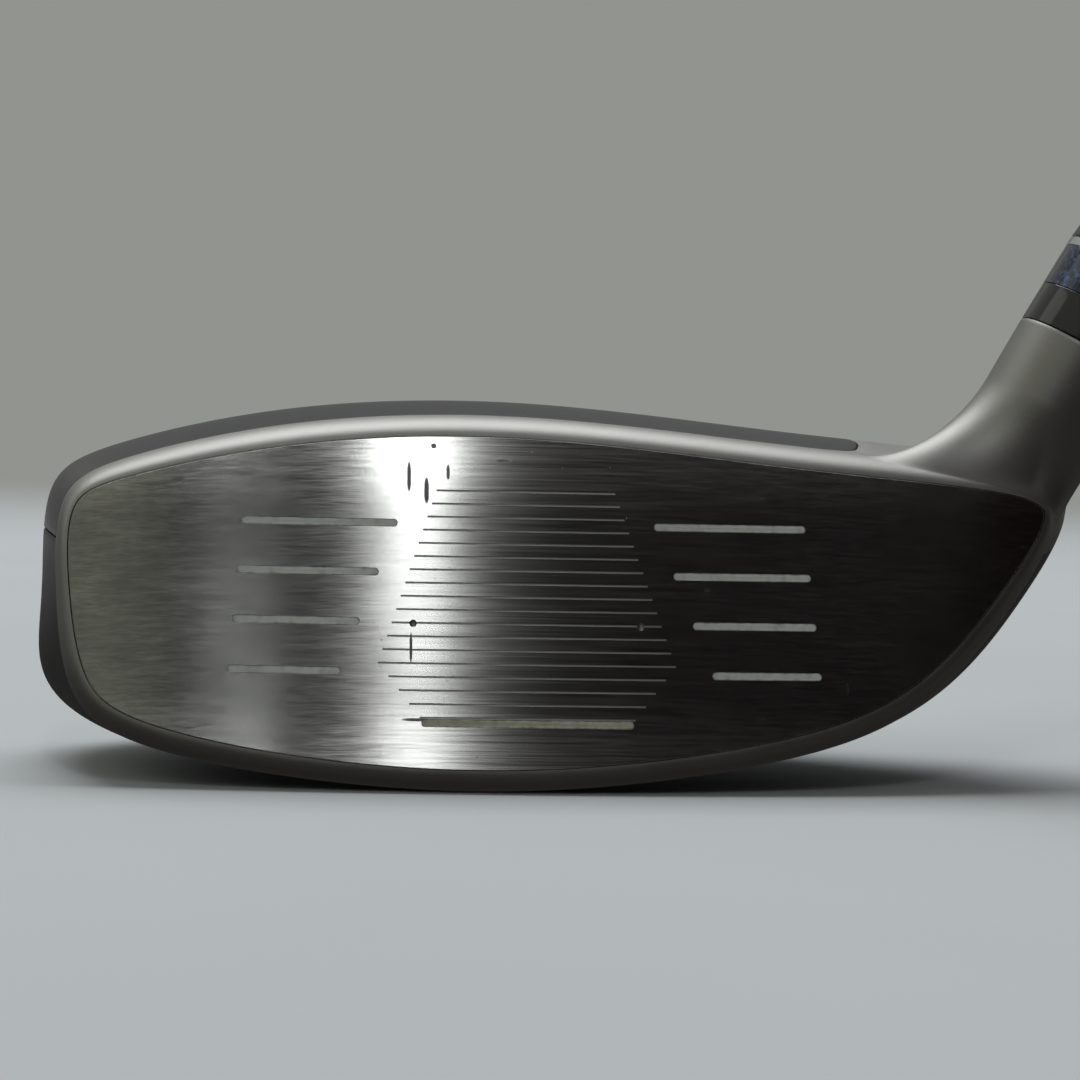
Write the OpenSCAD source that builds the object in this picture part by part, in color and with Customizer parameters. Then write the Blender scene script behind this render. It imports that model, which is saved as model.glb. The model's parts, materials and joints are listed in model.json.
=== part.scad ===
// Hybrid golf club, right-handed, standing at address.
// The face looks towards -Y, the toe is at -X and the shaft leans to +X.
// The origin is on the ground, under the middle of the leading edge.

/* [Club] */
// Length along the shaft, from the ground to the end of the grip cap
club_length = 1003; // [880:1:1150]
// Angle between the shaft and the ground
lie = 60.5; // [57:0.5:64]

/* [Head] */
// Length of the front frame, from toe to heel
head_length = 100; // [82:1:122]
// Height of the front frame at its middle
face_height = 36; // [30:0.5:44]
// Distance from the leading edge to the back of the head
head_depth = 62; // [50:1:76]
// Loft of the face, from the vertical
loft = 20; // [16:1:26]
// Radius of the face from toe to heel
bulge_radius = 330; // [240:10:500]
// Radius of the face from sole to crown
roll_radius = 330; // [240:10:500]
// Depth of the rounded front edge of the frame
edge_depth = 3.5; // [2.5:0.1:5]
// Wall of the body at the crown side
skirt_wall = 1.3; // [1:0.1:2]
// Wall of the body at the sole
sole_wall = 2.2; // [1.4:0.1:3]
// Thickness of the crown
crown_wall = 0.8; // [0.6:0.1:1.2]
// Thickness of the adhesive under the crown
crown_bond = 0.25; // [0.15:0.05:0.4]

/* [Face] */
// Thickness of the face plate at its middle
face_middle = 2.4; // [1.8:0.1:3]
// Thickness of the face plate at its rim
face_rim = 1.8; // [1.4:0.1:2.4]
// Gap of the seam around the face plate
face_seam = 0.05; // [0.03:0.01:0.1]
// Width of a score line
score_width = 0.76; // [0.5:0.02:0.9]
// Depth of a score line
score_depth = 0.4; // [0.3:0.05:0.5]
// Distance between score lines, along the face
score_pitch = 5; // [4:0.1:5.5]
// Height of the middle score lines, as a share of the face height
score_height = 0.445; // [0.42:0.005:0.47]
// Distance of the paint below the face
paint_drop = 0.1; // [0.05:0.05:0.2]

/* [Hosel] */
// Height of the hosel above the heel corner, along the shaft
hosel_length = 16.4; // [12:0.5:24]
// Diameter of the hosel
hosel_diameter = 13.8; // [12.8:0.1:15]
// Wall of the hosel tube inside the head
barrel_wall = 0.75; // [0.6:0.05:0.9]
// Distance along the shaft from the ground to the shaft tip
tip_station = 22; // [21:0.5:26]
// Thickness of the floor that the shaft tip rests on
bore_floor = 3; // [2:0.5:3]
// Diameter of the hole in that floor
floor_hole = 6; // [4:0.5:7]
// Thickness of the adhesive around the shaft tip
tip_bond = 0.15; // [0.1:0.01:0.2]

/* [Ferrule] */
// Length of the black base ring
base_ring = 4.2; // [3:0.1:6]
// Length of the blue band
blue_band = 4.5; // [3:0.1:6]
// Length of the bright ring
trim_ring = 1; // [0.6:0.1:2]
// Length of the black taper
taper_length = 15; // [10:0.5:22]
// Gap between the ferrule pieces and the shaft
ferrule_gap = 0.03; // [0.01:0.01:0.1]

/* [Shaft] */
// Diameter of the shaft at its tip
tip_diameter = 9.4; // [8.9:0.1:9.8]
// Length of the parallel tip
tip_length = 80; // [60:1:120]
// Diameter of the shaft at its butt
butt_diameter = 15.2; // [14.4:0.1:16]
// Wall of the shaft at its tip
tip_wall = 2.2; // [1.4:0.1:2.4]
// Wall of the shaft at its butt
butt_wall = 1; // [0.8:0.1:1.4]
// Length of the swing weight in the shaft tip
tip_weight_length = 18; // [8:1:30]

/* [Grip] */
// Length of the grip, with its cap
grip_length = 267; // [240:1:300]
// Wall of the grip just under its cap
grip_top_wall = 5.4; // [4.5:0.1:6.5]
// Wall of the grip where the upper hand holds it
grip_hand_wall = 3.8; // [3.2:0.1:4.4]
// Wall of the grip at its mouth
grip_mouth_wall = 1.3; // [1:0.1:2]
// Thickness of the grip tape
tape_wall = 0.25; // [0.15:0.05:0.4]
// Height of the cap above the end of the shaft
cap_height = 5; // [4:0.5:8]
// Diameter of the vent hole in the cap
vent_diameter = 3.2; // [2:0.2:4]

/* [Sole weight] */
// Diameter of the weight screw
screw_diameter = 10; // [8:0.5:12]
// Height of the head of the weight screw
screw_head = 3; // [2:0.5:4]
// Diameter of the thread of the weight screw
thread_diameter = 5; // [4:0.5:6]
// Length of the thread of the weight screw
thread_length = 4; // [3:0.5:6]
// Width of the rim of the port around the screw
port_rim = 2; // [1.5:0.1:3]
// Thickness of the washer under the screw
washer_wall = 0.6; // [0.4:0.1:1]
// Thickness of the sole weight inside the head
sole_weight_wall = 4.5; // [2:0.5:6]
// Thickness of the glue pad inside the head
glue_wall = 1.5; // [1:0.5:3]

/* [Hidden] */
$fn = 64;
overlap = 1;
fit = 0.02;

// Control points of the front outline, counterclockwise from the upper toe: x, z and the
// width of the frame there, on a head 100 long and 36 high.
outline_points = [
    [-46, 28, 1.2], [-45.5, 18.5, 1.3], [-44.5, 8, 2], [-38.5, 3.5, 2.4],
    [-20.5, 0.5, 2.2], [1, -0.5, 2.2], [24.5, 2.5, 2.2], [39.5, 7, 2.3],
    [50, 19, 2.2], [55, 26.5, 1.7], [53.5, 30, 1.7], [47.5, 32, 2.2],
    [26, 33.5, 2.1], [0.5, 36.5, 2], [-22.5, 35.5, 2], [-40.5, 31, 1.8]
];
outline_count = len(outline_points);
length_scale = head_length / 100;
height_scale = face_height / 36;
heel_corner = [53.5 * length_scale, 29.5 * height_scale];

// The back of the head draws in to one point.
tail_x = -4 * length_scale;
tail_z = 13 * height_scale;

// A uniform cubic spline through the outline points.
function weights(f) = [(1 - f) ^ 3, 3 * f ^ 3 - 6 * f ^ 2 + 4, 1 + 3 * f + 3 * f ^ 2 - 3 * f ^ 3, f ^ 3] / 6;
function slopes(f) = [-(1 - f) ^ 2, 3 * f ^ 2 - 4 * f, 1 + 2 * f - 3 * f ^ 2, f ^ 2] / 2;
function knot(k) =
    let (p = outline_points[(k + 2 * outline_count) % outline_count])
    [p.x * length_scale, p.y * height_scale, p.z];
function mix_knots(w, k) = w[0] * knot(k - 1) + w[1] * knot(k) + w[2] * knot(k + 1) + w[3] * knot(k + 2);
function outline_at(u) = mix_knots(weights(u - floor(u)), floor(u));
function outline_inward(u) =
    let (d = mix_knots(slopes(u - floor(u)), floor(u)))
    [-d.y, d.x] / norm([d.x, d.y]);

// Depth of the face behind the leading edge.
face_foot = 2;
face_middle_z = face_height / 2;
function face_y(x, z) =
    (z - face_foot) * tan(loft) + x ^ 2 / (2 * bulge_radius) + (z - face_middle_z) ^ 2 / (2 * roll_radius);

// How the width and height shrink from the seam (s = 0) to the tail (s = 1). The height runs
// from 0 at the sole to 1 at the crown.
function blend(d, width) = 1 / (1 + exp(-2 * d / width));
function side_round(s) = max(0, 1 - s ^ 2.4) ^ 0.417;
function toe_width(s, height) = side_round(s) * (1 + mix(0.42, 0.24, height) * s);
function heel_width(s, height) = side_round(s) * (1 + mix(0.6, 0.5, height) * s - s ^ 2);
function crown_rise(s) = max(0, 1 - s ^ 2.2) ^ 0.667 * (1 + 0.4 * s);
function sole_rise(s) = max(0, 1 - s ^ 2.5) ^ 0.83 * (1 + 0.06 * s);
function mix(a, b, f) = a + (b - a) * f;

// A point of the head at a depth t under its skin. u runs around the outline. v runs over
// the rounded edge of the frame from 0 to 1, and on to the tail at 2.
function skin(u, v, t) =
    let (
        p = outline_at(u),
        n = outline_inward(u),
        a = 90 * min(v, 1),
        s = max(v - 1, 0),
        inset = mix(p.z, t, sin(a)),
        x = p.x + n.x * inset,
        z = p.y + n.y * inset,
        y = face_y(x, z) + mix(edge_depth, t, cos(a)),
        height = blend(z - tail_z, 6),
        width = mix(toe_width(s, height), heel_width(s, height), blend(x - tail_x, 12)),
        rise = mix(sole_rise(s), crown_rise(s), height)
    )
    [mix(tail_x, x, s == 0 ? 1 : width), mix(y, head_depth - t, s), mix(tail_z, z, s == 0 ? 1 : rise)];

// Wall of the body, thicker towards the sole.
function body_wall(u) = mix(sole_wall, skirt_wall, min(1, max(0, outline_at(u).y / face_height)));

// Range of the crown around the outline and from seam to tail, and the ledge that it sits on.
step = 0.003;
crown_from = 11.65;
crown_to = 16.5;
crown_front = 1;
crown_back = 1.93;
ledge_u = 0.22;
ledge_v = 0.055;
crown_count = 18;
sole_count = 30;
crown_rows = 9;
edge_rows = 4;
tail = 1.992;

function steps(a, b, n) = [for (k = [0 : n]) a + (b - a) * k / n];
crown_us = concat(
    [crown_from + step],
    steps(crown_from + ledge_u, crown_to - ledge_u, crown_count),
    [crown_to - step]
);
sole_us = steps(crown_to + step, crown_from + outline_count - step, sole_count);
crown_vs = concat(
    [crown_front + step],
    steps(crown_front + ledge_v, crown_back - ledge_v, crown_rows),
    [crown_back - step]
);
body_us = concat(crown_us, sole_us);
body_vs = concat(steps(0, crown_front, edge_rows), crown_vs, [crown_back + step, 1.965, tail]);
function within(a, low, high) = a > low && a < high;
function under_crown(u, v) = within(u, crown_from, crown_to) && within(v, crown_front, crown_back);

// Shaft axis: it passes beside and behind the heel corner.
axis_inset = 4.1;
axis_setback = 6.6;
axis_x = heel_corner.x - heel_corner.y / tan(lie) - axis_inset;
axis_y = face_y(heel_corner.x, heel_corner.y) + axis_setback;
axis_way = [cos(lie), 0, sin(lie)];
function on_axis(t) = [axis_x, axis_y, 0] + axis_way * t;

// Foot of the neck on the skin: an oval around the heel corner.
neck_u = 10.2;
neck_v = 0.75;
neck_du = 1.4;
neck_dv = 0.65;
neck_foot_pull = 0.32;
neck_top_pull = 0.25;
neck_root = 0.2;
neck_sides = 32;
neck_rings = 10;
collar_length = 8;
collar_step = 0.1;
hosel_top = heel_corner.y / sin(lie) + hosel_length;
collar_start = hosel_top - collar_length;
bore_radius = tip_diameter / 2 + tip_bond;
barrel_diameter = 2 * (bore_radius + barrel_wall);

// Weight port in the sole.
port_u = 5;
port_v = 1.66;
port_flange = 1.2;
port_floor = 1;
screw_gap = 0.2;
screw_sink = 0.4;
screw_seat = screw_sink + screw_head + washer_wall;
port_diameter = screw_diameter + 2 * port_rim;
boss_diameter = port_diameter - port_rim;
port_height = screw_seat + thread_length + port_floor;
port_pitch = 0.01;
port_reach = 4;
port_point = skin(port_u, port_v, 0);
port_inward = let (
    along = skin(port_u + port_pitch, port_v, 0) - port_point,
    back = skin(port_u, port_v + port_pitch, 0) - port_point,
    n = cross(along, back)
) n / norm(n);

// The crown opening of the body, inside the ledge.
function in_opening(u, v) =
    within(u, crown_from + ledge_u, crown_to - ledge_u)
    && within(v, crown_front + ledge_v, crown_back - ledge_v);

// A closed shell over the kept cells of a grid. The depths are functions of u and v.
module cell_shell(us, vs, kept, outer, inner, ring = false, pole = false) {
    nu = len(us);
    nv = len(vs);
    last_u = ring ? nu - 1 : nu - 2;
    cells = [for (i = [0 : last_u]) [for (j = [0 : nv - 2])
        kept(i == nu - 1 ? us[i] : (us[i] + us[i + 1]) / 2, (vs[j] + vs[j + 1]) / 2)]];
    function is_kept(i, j) = let (k = ring ? (i + nu) % nu : i)
        k >= 0 && k <= last_u && j >= 0 && j <= nv - 2 && cells[k][j];
    function at(i, j, side) = (side * nu + i % nu) * nv + j;
    function wall(a, b) = [[b, a, a + nu * nv], [b, a + nu * nv, b + nu * nv]];
    points = concat(
        [for (u = us, v = vs) skin(u, v, outer(u, v))],
        [for (u = us, v = vs) skin(u, v, inner(u, v))],
        [[tail_x, head_depth, tail_z], [tail_x, head_depth - sole_wall, tail_z]]
    );
    faces = [for (i = [0 : last_u], j = [0 : nv - 2]) if (is_kept(i, j)) let (
        a = at(i, j, 0),
        b = at(i + 1, j, 0),
        c = at(i + 1, j + 1, 0),
        d = at(i, j + 1, 0),
        m = nu * nv
    ) each concat(
        [[a, b, c], [a, c, d], [a + m, c + m, b + m], [a + m, d + m, c + m]],
        is_kept(i, j - 1) ? [] : wall(a, b),
        is_kept(i + 1, j) ? [] : wall(b, c),
        is_kept(i, j + 1) || (pole && j == nv - 2) ? [] : wall(c, d),
        is_kept(i - 1, j) ? [] : wall(d, a)
    )];
    tail_faces = !pole ? [] : [for (i = [0 : nu - 1]) each [
        [at(i, nv - 1, 0), at(i + 1, nv - 1, 0), 2 * nu * nv],
        [at(i + 1, nv - 1, 1), at(i, nv - 1, 1), 2 * nu * nv + 1]
    ]];
    polyhedron(points, concat(faces, tail_faces));
}

// A closed skin over rings of points, with a fan at each end.
module ring_skin(rings) {
    n = len(rings[0]);
    m = len(rings);
    foot = sum_points(rings[0]) / n;
    top = sum_points(rings[m - 1]) / n;
    points = concat([for (ring = rings) each ring], [foot, top]);
    sides = [for (k = [0 : m - 2], i = [0 : n - 1]) let (j = (i + 1) % n) each [
        [k * n + i, k * n + j, (k + 1) * n + j],
        [k * n + i, (k + 1) * n + j, (k + 1) * n + i]
    ]];
    ends = [for (i = [0 : n - 1]) let (j = (i + 1) % n) each [
        [i, m * n, j],
        [(m - 1) * n + i, (m - 1) * n + j, m * n + 1]
    ]];
    polyhedron(points, concat(sides, ends));
}
function sum_points(list, k = 0) = k == len(list) ? [0, 0, 0] : list[k] + sum_points(list, k + 1);

function neck_foot(a, share, t) =
    skin(neck_u + neck_du * share * cos(a), neck_v + neck_dv * share * sin(a), t);
function neck_point(a, w) =
    let (
        foot = neck_foot(a, 1, 0),
        across = [-axis_way.z, 0, axis_way.x],
        radius = hosel_diameter / 2 - collar_step,
        top = on_axis(collar_start + overlap) + radius * (cos(a) * across + sin(a) * [0, 1, 0]),
        inward = neck_foot(a, 0.99, 0) - foot,
        reach = norm(top - foot),
        p1 = foot + inward / norm(inward) * reach * neck_foot_pull,
        p2 = top - axis_way * reach * neck_top_pull
    )
    (1 - w) ^ 3 * foot + 3 * (1 - w) ^ 2 * w * p1 + 3 * (1 - w) * w ^ 2 * p2 + w ^ 3 * top;

// Places children on the shaft axis, z along it, at a distance from the ground.
module on_shaft(t = 0) {
    translate(on_axis(t)) rotate([0, 90 - lie, 0]) children();
}

// Places children on the face, z out of it.
module on_face(x, z) {
    rise = atan(tan(loft) + (z - face_middle_z) / roll_radius);
    translate([x, face_y(x, z), z]) rotate([90 - rise, 0, atan(x / bulge_radius)]) children();
}

// Places children at the weight port, z into the head.
module on_port() {
    translate(port_point)
        rotate([0, acos(port_inward.z), atan2(port_inward.y, port_inward.x)])
            children();
}

// A turned tube. The profiles are lists of [z, radius] from the foot up.
module turned(outside, inside) {
    rotate_extrude()
        polygon(concat(
            [for (p = outside) [p.y, p.x]],
            [for (k = [len(inside) - 1 : -1 : 0]) [inside[k].y, inside[k].x]]
        ));
}

module ring(r_foot, r_top, hole, length) {
    turned([[0, r_foot], [length, r_top]], [[0, hole], [length, hole]]);
}

module head_body() {
    recess = crown_wall + crown_bond;
    color("dimgray")
        difference() {
            cell_shell(
                body_us,
                body_vs,
                function (u, v) !in_opening(u, v),
                function (u, v) under_crown(u, v) ? recess : 0,
                function (u, v) body_wall(u) + (under_crown(u, v) ? recess : 0),
                ring = true,
                pole = true
            );
            on_shaft(tip_station - bore_floor - overlap)
                cylinder(d = barrel_diameter + 2 * fit, h = collar_start - tip_station);
            on_port()
                translate([0, 0, -port_reach])
                    cylinder(d = port_diameter + 2 * fit, h = port_reach + port_height);
        }
}

module crown() {
    color([0.1, 0.1, 0.11])
        cell_shell(
            concat([crown_us[0] + step], inner_part(crown_us), [crown_us[len(crown_us) - 1] - step]),
            concat([crown_vs[0] + step], inner_part(crown_vs), [crown_vs[len(crown_vs) - 1] - step]),
            function (u, v) true,
            function (u, v) 0,
            function (u, v) crown_wall
        );
}
function inner_part(list) = [for (k = [1 : len(list) - 2]) list[k]];

module crown_adhesive() {
    color("khaki")
        cell_shell(
            crown_us,
            crown_vs,
            function (u, v) !in_opening(u, v),
            function (u, v) crown_wall + fit,
            function (u, v) crown_wall + crown_bond - fit
        );
}

// Rings of the face plate, from the rim in to the middle.
face_us = body_us;
face_shares = [1, 0.97, 0.85, 0.68, 0.48, 0.25];
face_centre = [1 * length_scale, 17 * height_scale];
function plate_point(u, share, back) =
    let (
        p = outline_at(u),
        n = outline_inward(u),
        x = mix(face_centre.x, p.x + n.x * (p.z + face_seam), share),
        z = mix(face_centre.y, p.y + n.y * (p.z + face_seam), share)
    )
    [x, face_y(x, z) + back * mix(face_middle, face_rim, share ^ 2), z];

module face_plate() {
    front = [for (share = face_shares) [for (u = face_us) plate_point(u, share, 0)]];
    back = [for (share = face_shares) [for (u = face_us) plate_point(u, share, 1)]];
    turned_front = [for (k = [len(front) - 1 : -1 : 0]) front[k]];
    color("silver")
        difference() {
            ring_skin(concat(turned_front, back));
            score_lines(score_width, score_depth, score_depth);
        }
}

// The score lines as bars: their floor lies at the given depth under the face.
score_rows = 4;
score_inner = 12.5;
score_inner_step = 1.8;
score_outer = 27.6;
score_outer_step = 0.37;
score_drop = score_pitch * cos(loft);
score_top = score_height * face_height + score_rows / 2 * score_drop;
foot_line_half = 10.2;
module score_bar(length, width, depth, height) {
    reach = length / 2 - width / 2;
    translate([0, 0, -depth])
        linear_extrude(height)
            union() {
                square([2 * reach, width], center = true);
                for (side = [-1, 1])
                    translate([side * reach, 0]) circle(d = width, $fn = 24);
            }
}
module score_lines(width, depth, height) {
    for (row = [0 : score_rows - 1], side = [-1, 1]) {
        inner = score_inner + score_inner_step * row;
        outer = score_outer + score_outer_step * row;
        on_face(side * (inner + outer) / 2, score_top - score_drop * row)
            score_bar(outer - inner, width, depth, height + overlap);
    }
    on_face(0, score_top - score_drop * score_rows)
        score_bar(2 * foot_line_half, width, depth, height + overlap);
}

module score_line_paint() {
    color("white")
        score_lines(score_width - fit * 2, score_depth - fit, score_depth - paint_drop - fit - overlap);
}

module sole_weight() {
    color("slategray")
        inside_pad(9, 15, 7, 10, sole_weight_wall);
}

module glue_pad() {
    color("wheat")
        inside_pad(4, 8, 7, 9, glue_wall);
}

// A pad that lies on the inside of the sole, over a range of grid lines.
module inside_pad(from_u, to_u, from_v, to_v, wall) {
    seat_gap = 0.05;
    cell_shell(
        [for (k = [from_u : to_u]) sole_us[k]],
        [for (k = [from_v : to_v]) body_vs[k]],
        function (u, v) true,
        function (u, v) body_wall(u) + seat_gap,
        function (u, v) body_wall(u) + seat_gap + wall
    );
}

module hosel() {
    roots = [for (share = [0.35, 0.7, 1]) [for (i = [0 : neck_sides - 1])
        neck_foot(360 * i / neck_sides, share, neck_root)]];
    rings = [for (k = [0 : neck_rings]) [for (i = [0 : neck_sides - 1])
        neck_point(360 * i / neck_sides, k / neck_rings)]];
    color("darkgray")
        difference() {
            union() {
                ring_skin(concat(roots, rings));
                on_shaft(tip_station - bore_floor)
                    cylinder(d = barrel_diameter, h = collar_start + overlap - tip_station);
                on_shaft(collar_start) cylinder(d = hosel_diameter, h = collar_length);
            }
            on_shaft(tip_station) cylinder(r = bore_radius, h = hosel_top);
            on_shaft(tip_station - bore_floor - overlap)
                cylinder(d = floor_hole, h = bore_floor + 2 * overlap);
        }
}

module hosel_plug() {
    color("peru")
        on_shaft(tip_station - bore_floor) cylinder(r = floor_hole / 2 - fit, h = bore_floor - fit);
}

module weight_port() {
    color("gray")
        on_port()
            difference() {
                union() {
                    cylinder(d = port_diameter, h = port_flange);
                    cylinder(d = boss_diameter, h = port_height);
                }
                translate([0, 0, -overlap])
                    cylinder(d = screw_diameter + 2 * screw_gap, h = screw_seat + overlap);
                cylinder(d = thread_diameter + 2 * fit, h = screw_seat + thread_length);
            }
}

module weight_washer() {
    washer_radius = screw_diameter / 2 - screw_gap;
    color([0.12, 0.12, 0.13])
        on_port()
            translate([0, 0, screw_sink + screw_head])
                ring(washer_radius, washer_radius, thread_diameter / 2 + screw_gap, washer_wall);
}

module weight_screw() {
    socket = 4;
    color("lightsteelblue")
        on_port()
            translate([0, 0, screw_sink])
                difference() {
                    union() {
                        cylinder(d = screw_diameter, h = screw_head);
                        cylinder(d = thread_diameter, h = screw_head + washer_wall + thread_length);
                    }
                    translate([0, 0, -overlap]) cylinder(d = socket, h = screw_head, $fn = 6);
                }
}

// Radius of the shaft and of its hole at a distance from the ground.
shaft_length = club_length - cap_height - tip_station;
butt_station = tip_station + shaft_length;
taper_start = tip_station + tip_length;
function shaft_radius(t) =
    t <= taper_start
        ? tip_diameter / 2
        : mix(tip_diameter, butt_diameter, (t - taper_start) / (butt_station - taper_start)) / 2;

module shaft() {
    color([0.18, 0.19, 0.21])
        on_shaft(tip_station)
            turned(
                [[0, tip_diameter / 2], [tip_length, tip_diameter / 2], [shaft_length, butt_diameter / 2]],
                [
                    [0, tip_diameter / 2 - tip_wall],
                    [tip_length, tip_diameter / 2 - tip_wall],
                    [shaft_length, butt_diameter / 2 - butt_wall]
                ]
            );
}

module tip_weight() {
    color("goldenrod")
        on_shaft(tip_station) cylinder(r = tip_diameter / 2 - tip_wall - fit, h = tip_weight_length);
}

module shaft_adhesive() {
    color("khaki")
        on_shaft(tip_station + fit)
            ring(
                bore_radius - fit,
                bore_radius - fit,
                tip_diameter / 2 + fit,
                hosel_top - tip_station - 2 * fit
            );
}

// The ferrule pieces stack on the hosel and narrow to the shaft.
ferrule_lip = 0.5;
function ferrule_radius(h) =
    h <= base_ring + blue_band + trim_ring
        ? hosel_diameter / 2 - 0.012 * h
        : mix(
            hosel_diameter / 2 - 0.012 * (base_ring + blue_band + trim_ring),
            tip_diameter / 2 + ferrule_lip,
            (h - base_ring - blue_band - trim_ring) / taper_length
        );
module ferrule_piece(from, length) {
    on_shaft(hosel_top + from + fit / 2)
        ring(
            ferrule_radius(from),
            ferrule_radius(from + length),
            tip_diameter / 2 + ferrule_gap,
            length - fit
        );
}

module ferrule_base() {
    color([0.03, 0.03, 0.04]) ferrule_piece(0, base_ring);
}

module ferrule_blue_band() {
    color("midnightblue") ferrule_piece(base_ring, blue_band);
}

module ferrule_trim_ring() {
    color("gainsboro") ferrule_piece(base_ring + blue_band, trim_ring);
}

module ferrule_taper() {
    color([0.03, 0.03, 0.04]) ferrule_piece(base_ring + blue_band + trim_ring, taper_length);
}

// The grip is pulled over the taped butt of the shaft.
grip_station = club_length - grip_length;
grip_hand = grip_length - cap_height - 55;
grip_shell = grip_length - cap_height;
tape_inset = 6;
function under_tape(h) = shaft_radius(grip_station + h) + fit;
function over_tape(h) = under_tape(h) + tape_wall;
grip_lip = 1.2;
grip_top_radius = over_tape(grip_shell) + grip_top_wall;

module grip_tape() {
    color("ivory")
        on_shaft(grip_station)
            turned(
                [[tape_inset, over_tape(tape_inset)], [grip_shell - fit, over_tape(grip_shell - fit)]],
                [[tape_inset, under_tape(tape_inset)], [grip_shell - fit, under_tape(grip_shell - fit)]]
            );
}

module grip_sleeve() {
    color([0.08, 0.08, 0.09])
        on_shaft(grip_station)
            turned(
                [
                    [0, over_tape(0) + grip_mouth_wall / 2],
                    [grip_lip, over_tape(0) + grip_mouth_wall],
                    [grip_hand, over_tape(grip_hand) + grip_hand_wall],
                    [grip_shell - 12, grip_top_radius - 0.4],
                    [grip_shell, grip_top_radius]
                ],
                [[0, over_tape(0) + fit], [grip_shell, over_tape(grip_shell) + fit]]
            );
}

module grip_cap() {
    rim = 1.6;
    color([0.05, 0.05, 0.06])
        on_shaft(butt_station + fit)
            rotate_extrude()
                polygon([
                    [vent_diameter / 2, 0],
                    [grip_top_radius, 0],
                    [grip_top_radius + 0.3, rim],
                    [grip_top_radius - 0.6, rim + 2],
                    [grip_top_radius * 0.6, cap_height - fit - 0.3],
                    [vent_diameter / 2, cap_height - fit]
                ]);
}

head_body();
hosel();
crown();
crown_adhesive();
face_plate();
score_line_paint();
sole_weight();
glue_pad();
weight_port();
weight_washer();
weight_screw();
hosel_plug();
shaft_adhesive();
ferrule_base();
ferrule_blue_band();
ferrule_trim_ring();
ferrule_taper();
shaft();
tip_weight();
grip_tape();
grip_sleeve();
grip_cap();
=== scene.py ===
"""Looks of a hybrid golf club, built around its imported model. Sizes are in metres."""

import json
import math

import bmesh
import bpy
import numpy as np
from mathutils import Matrix, Vector


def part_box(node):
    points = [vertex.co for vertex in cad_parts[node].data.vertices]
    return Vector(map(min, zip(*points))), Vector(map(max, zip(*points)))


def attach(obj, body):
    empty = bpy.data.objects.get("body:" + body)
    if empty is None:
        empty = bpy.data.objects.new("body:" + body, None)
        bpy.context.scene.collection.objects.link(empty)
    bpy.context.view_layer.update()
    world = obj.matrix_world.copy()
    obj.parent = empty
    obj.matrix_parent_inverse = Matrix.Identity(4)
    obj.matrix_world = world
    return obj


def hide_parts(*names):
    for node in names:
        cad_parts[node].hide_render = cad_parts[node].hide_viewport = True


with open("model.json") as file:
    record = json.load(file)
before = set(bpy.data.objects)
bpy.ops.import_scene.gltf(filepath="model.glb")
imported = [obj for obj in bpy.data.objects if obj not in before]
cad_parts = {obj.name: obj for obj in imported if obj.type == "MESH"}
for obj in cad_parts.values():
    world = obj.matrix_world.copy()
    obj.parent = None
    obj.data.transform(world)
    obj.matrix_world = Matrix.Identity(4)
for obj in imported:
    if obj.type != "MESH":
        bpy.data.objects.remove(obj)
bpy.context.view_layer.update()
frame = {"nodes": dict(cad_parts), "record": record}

bl_info = {
    "name": "Hybrid golf club",
    "version": (1, 0, 0),
    "blender": (4, 5, 0),
    "location": "View3D > Sidebar > Club",
    "description": "Builds the looks of a hybrid golf club around its packed model",
    "category": "Mesh",
}

MM = 0.001
SHARP = math.radians(35)

# The shaft axis runs through the vent of the grip cap.
VENT = next(mount for mount in frame["record"]["mounts"] if mount["name"] == "butt_vent")
WAY = np.array(VENT["axis"]) / np.linalg.norm(VENT["axis"])
GROUND = np.array(VENT["pos_m"]) - WAY * (VENT["pos_m"][2] / WAY[2])
ACROSS = np.array([-WAY[2], 0, WAY[0]])
BESIDE = np.array([0, 1, 0])


def ends(node):
    """Stations and radii of a turned node's two ends, worked out from its box."""
    low, high = (np.array(corner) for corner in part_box(node))
    size, middle = high - low, (high + low) / 2 - GROUND
    spread = WAY[2] ** 2 - WAY[0] ** 2
    length = (size[2] * WAY[2] - size[0] * WAY[0]) / spread
    both = (size[0] * WAY[2] - size[2] * WAY[0]) / spread
    centre = (middle[2] * WAY[2] - middle[0] * WAY[0]) / spread
    growth = 2 * (middle[0] - WAY[0] * centre) / WAY[2]
    return centre - length / 2, centre + length / 2, (both - growth) / 2, (both + growth) / 2


# Control points of the front outline, counterclockwise from the upper toe: x, z and the
# width of the frame there.
OUTLINE = MM * np.array([
    [-46, 28, 1.2], [-45.5, 18.5, 1.3], [-44.5, 8, 2], [-38.5, 3.5, 2.4],
    [-20.5, 0.5, 2.2], [1, -0.5, 2.2], [24.5, 2.5, 2.2], [39.5, 7, 2.3],
    [50, 19, 2.2], [55, 26.5, 1.7], [53.5, 30, 1.7], [47.5, 32, 2.2],
    [26, 33.5, 2.1], [0.5, 36.5, 2], [-22.5, 35.5, 2], [-40.5, 31, 1.8],
])
TURNS = len(OUTLINE)


def size_setting(name, description, default):
    """A setting in metres."""
    return bpy.props.FloatProperty(
        name=name, description=description, default=default, subtype="DISTANCE")


def angle_setting(name, description, degrees):
    """A setting that is an angle."""
    return bpy.props.FloatProperty(
        name=name, description=description, default=math.radians(degrees), subtype="ANGLE")


def colour_setting(name, description, default):
    """A setting that is a colour."""
    return bpy.props.FloatVectorProperty(
        name=name, description=description, size=3, default=default, subtype="COLOR")


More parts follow.
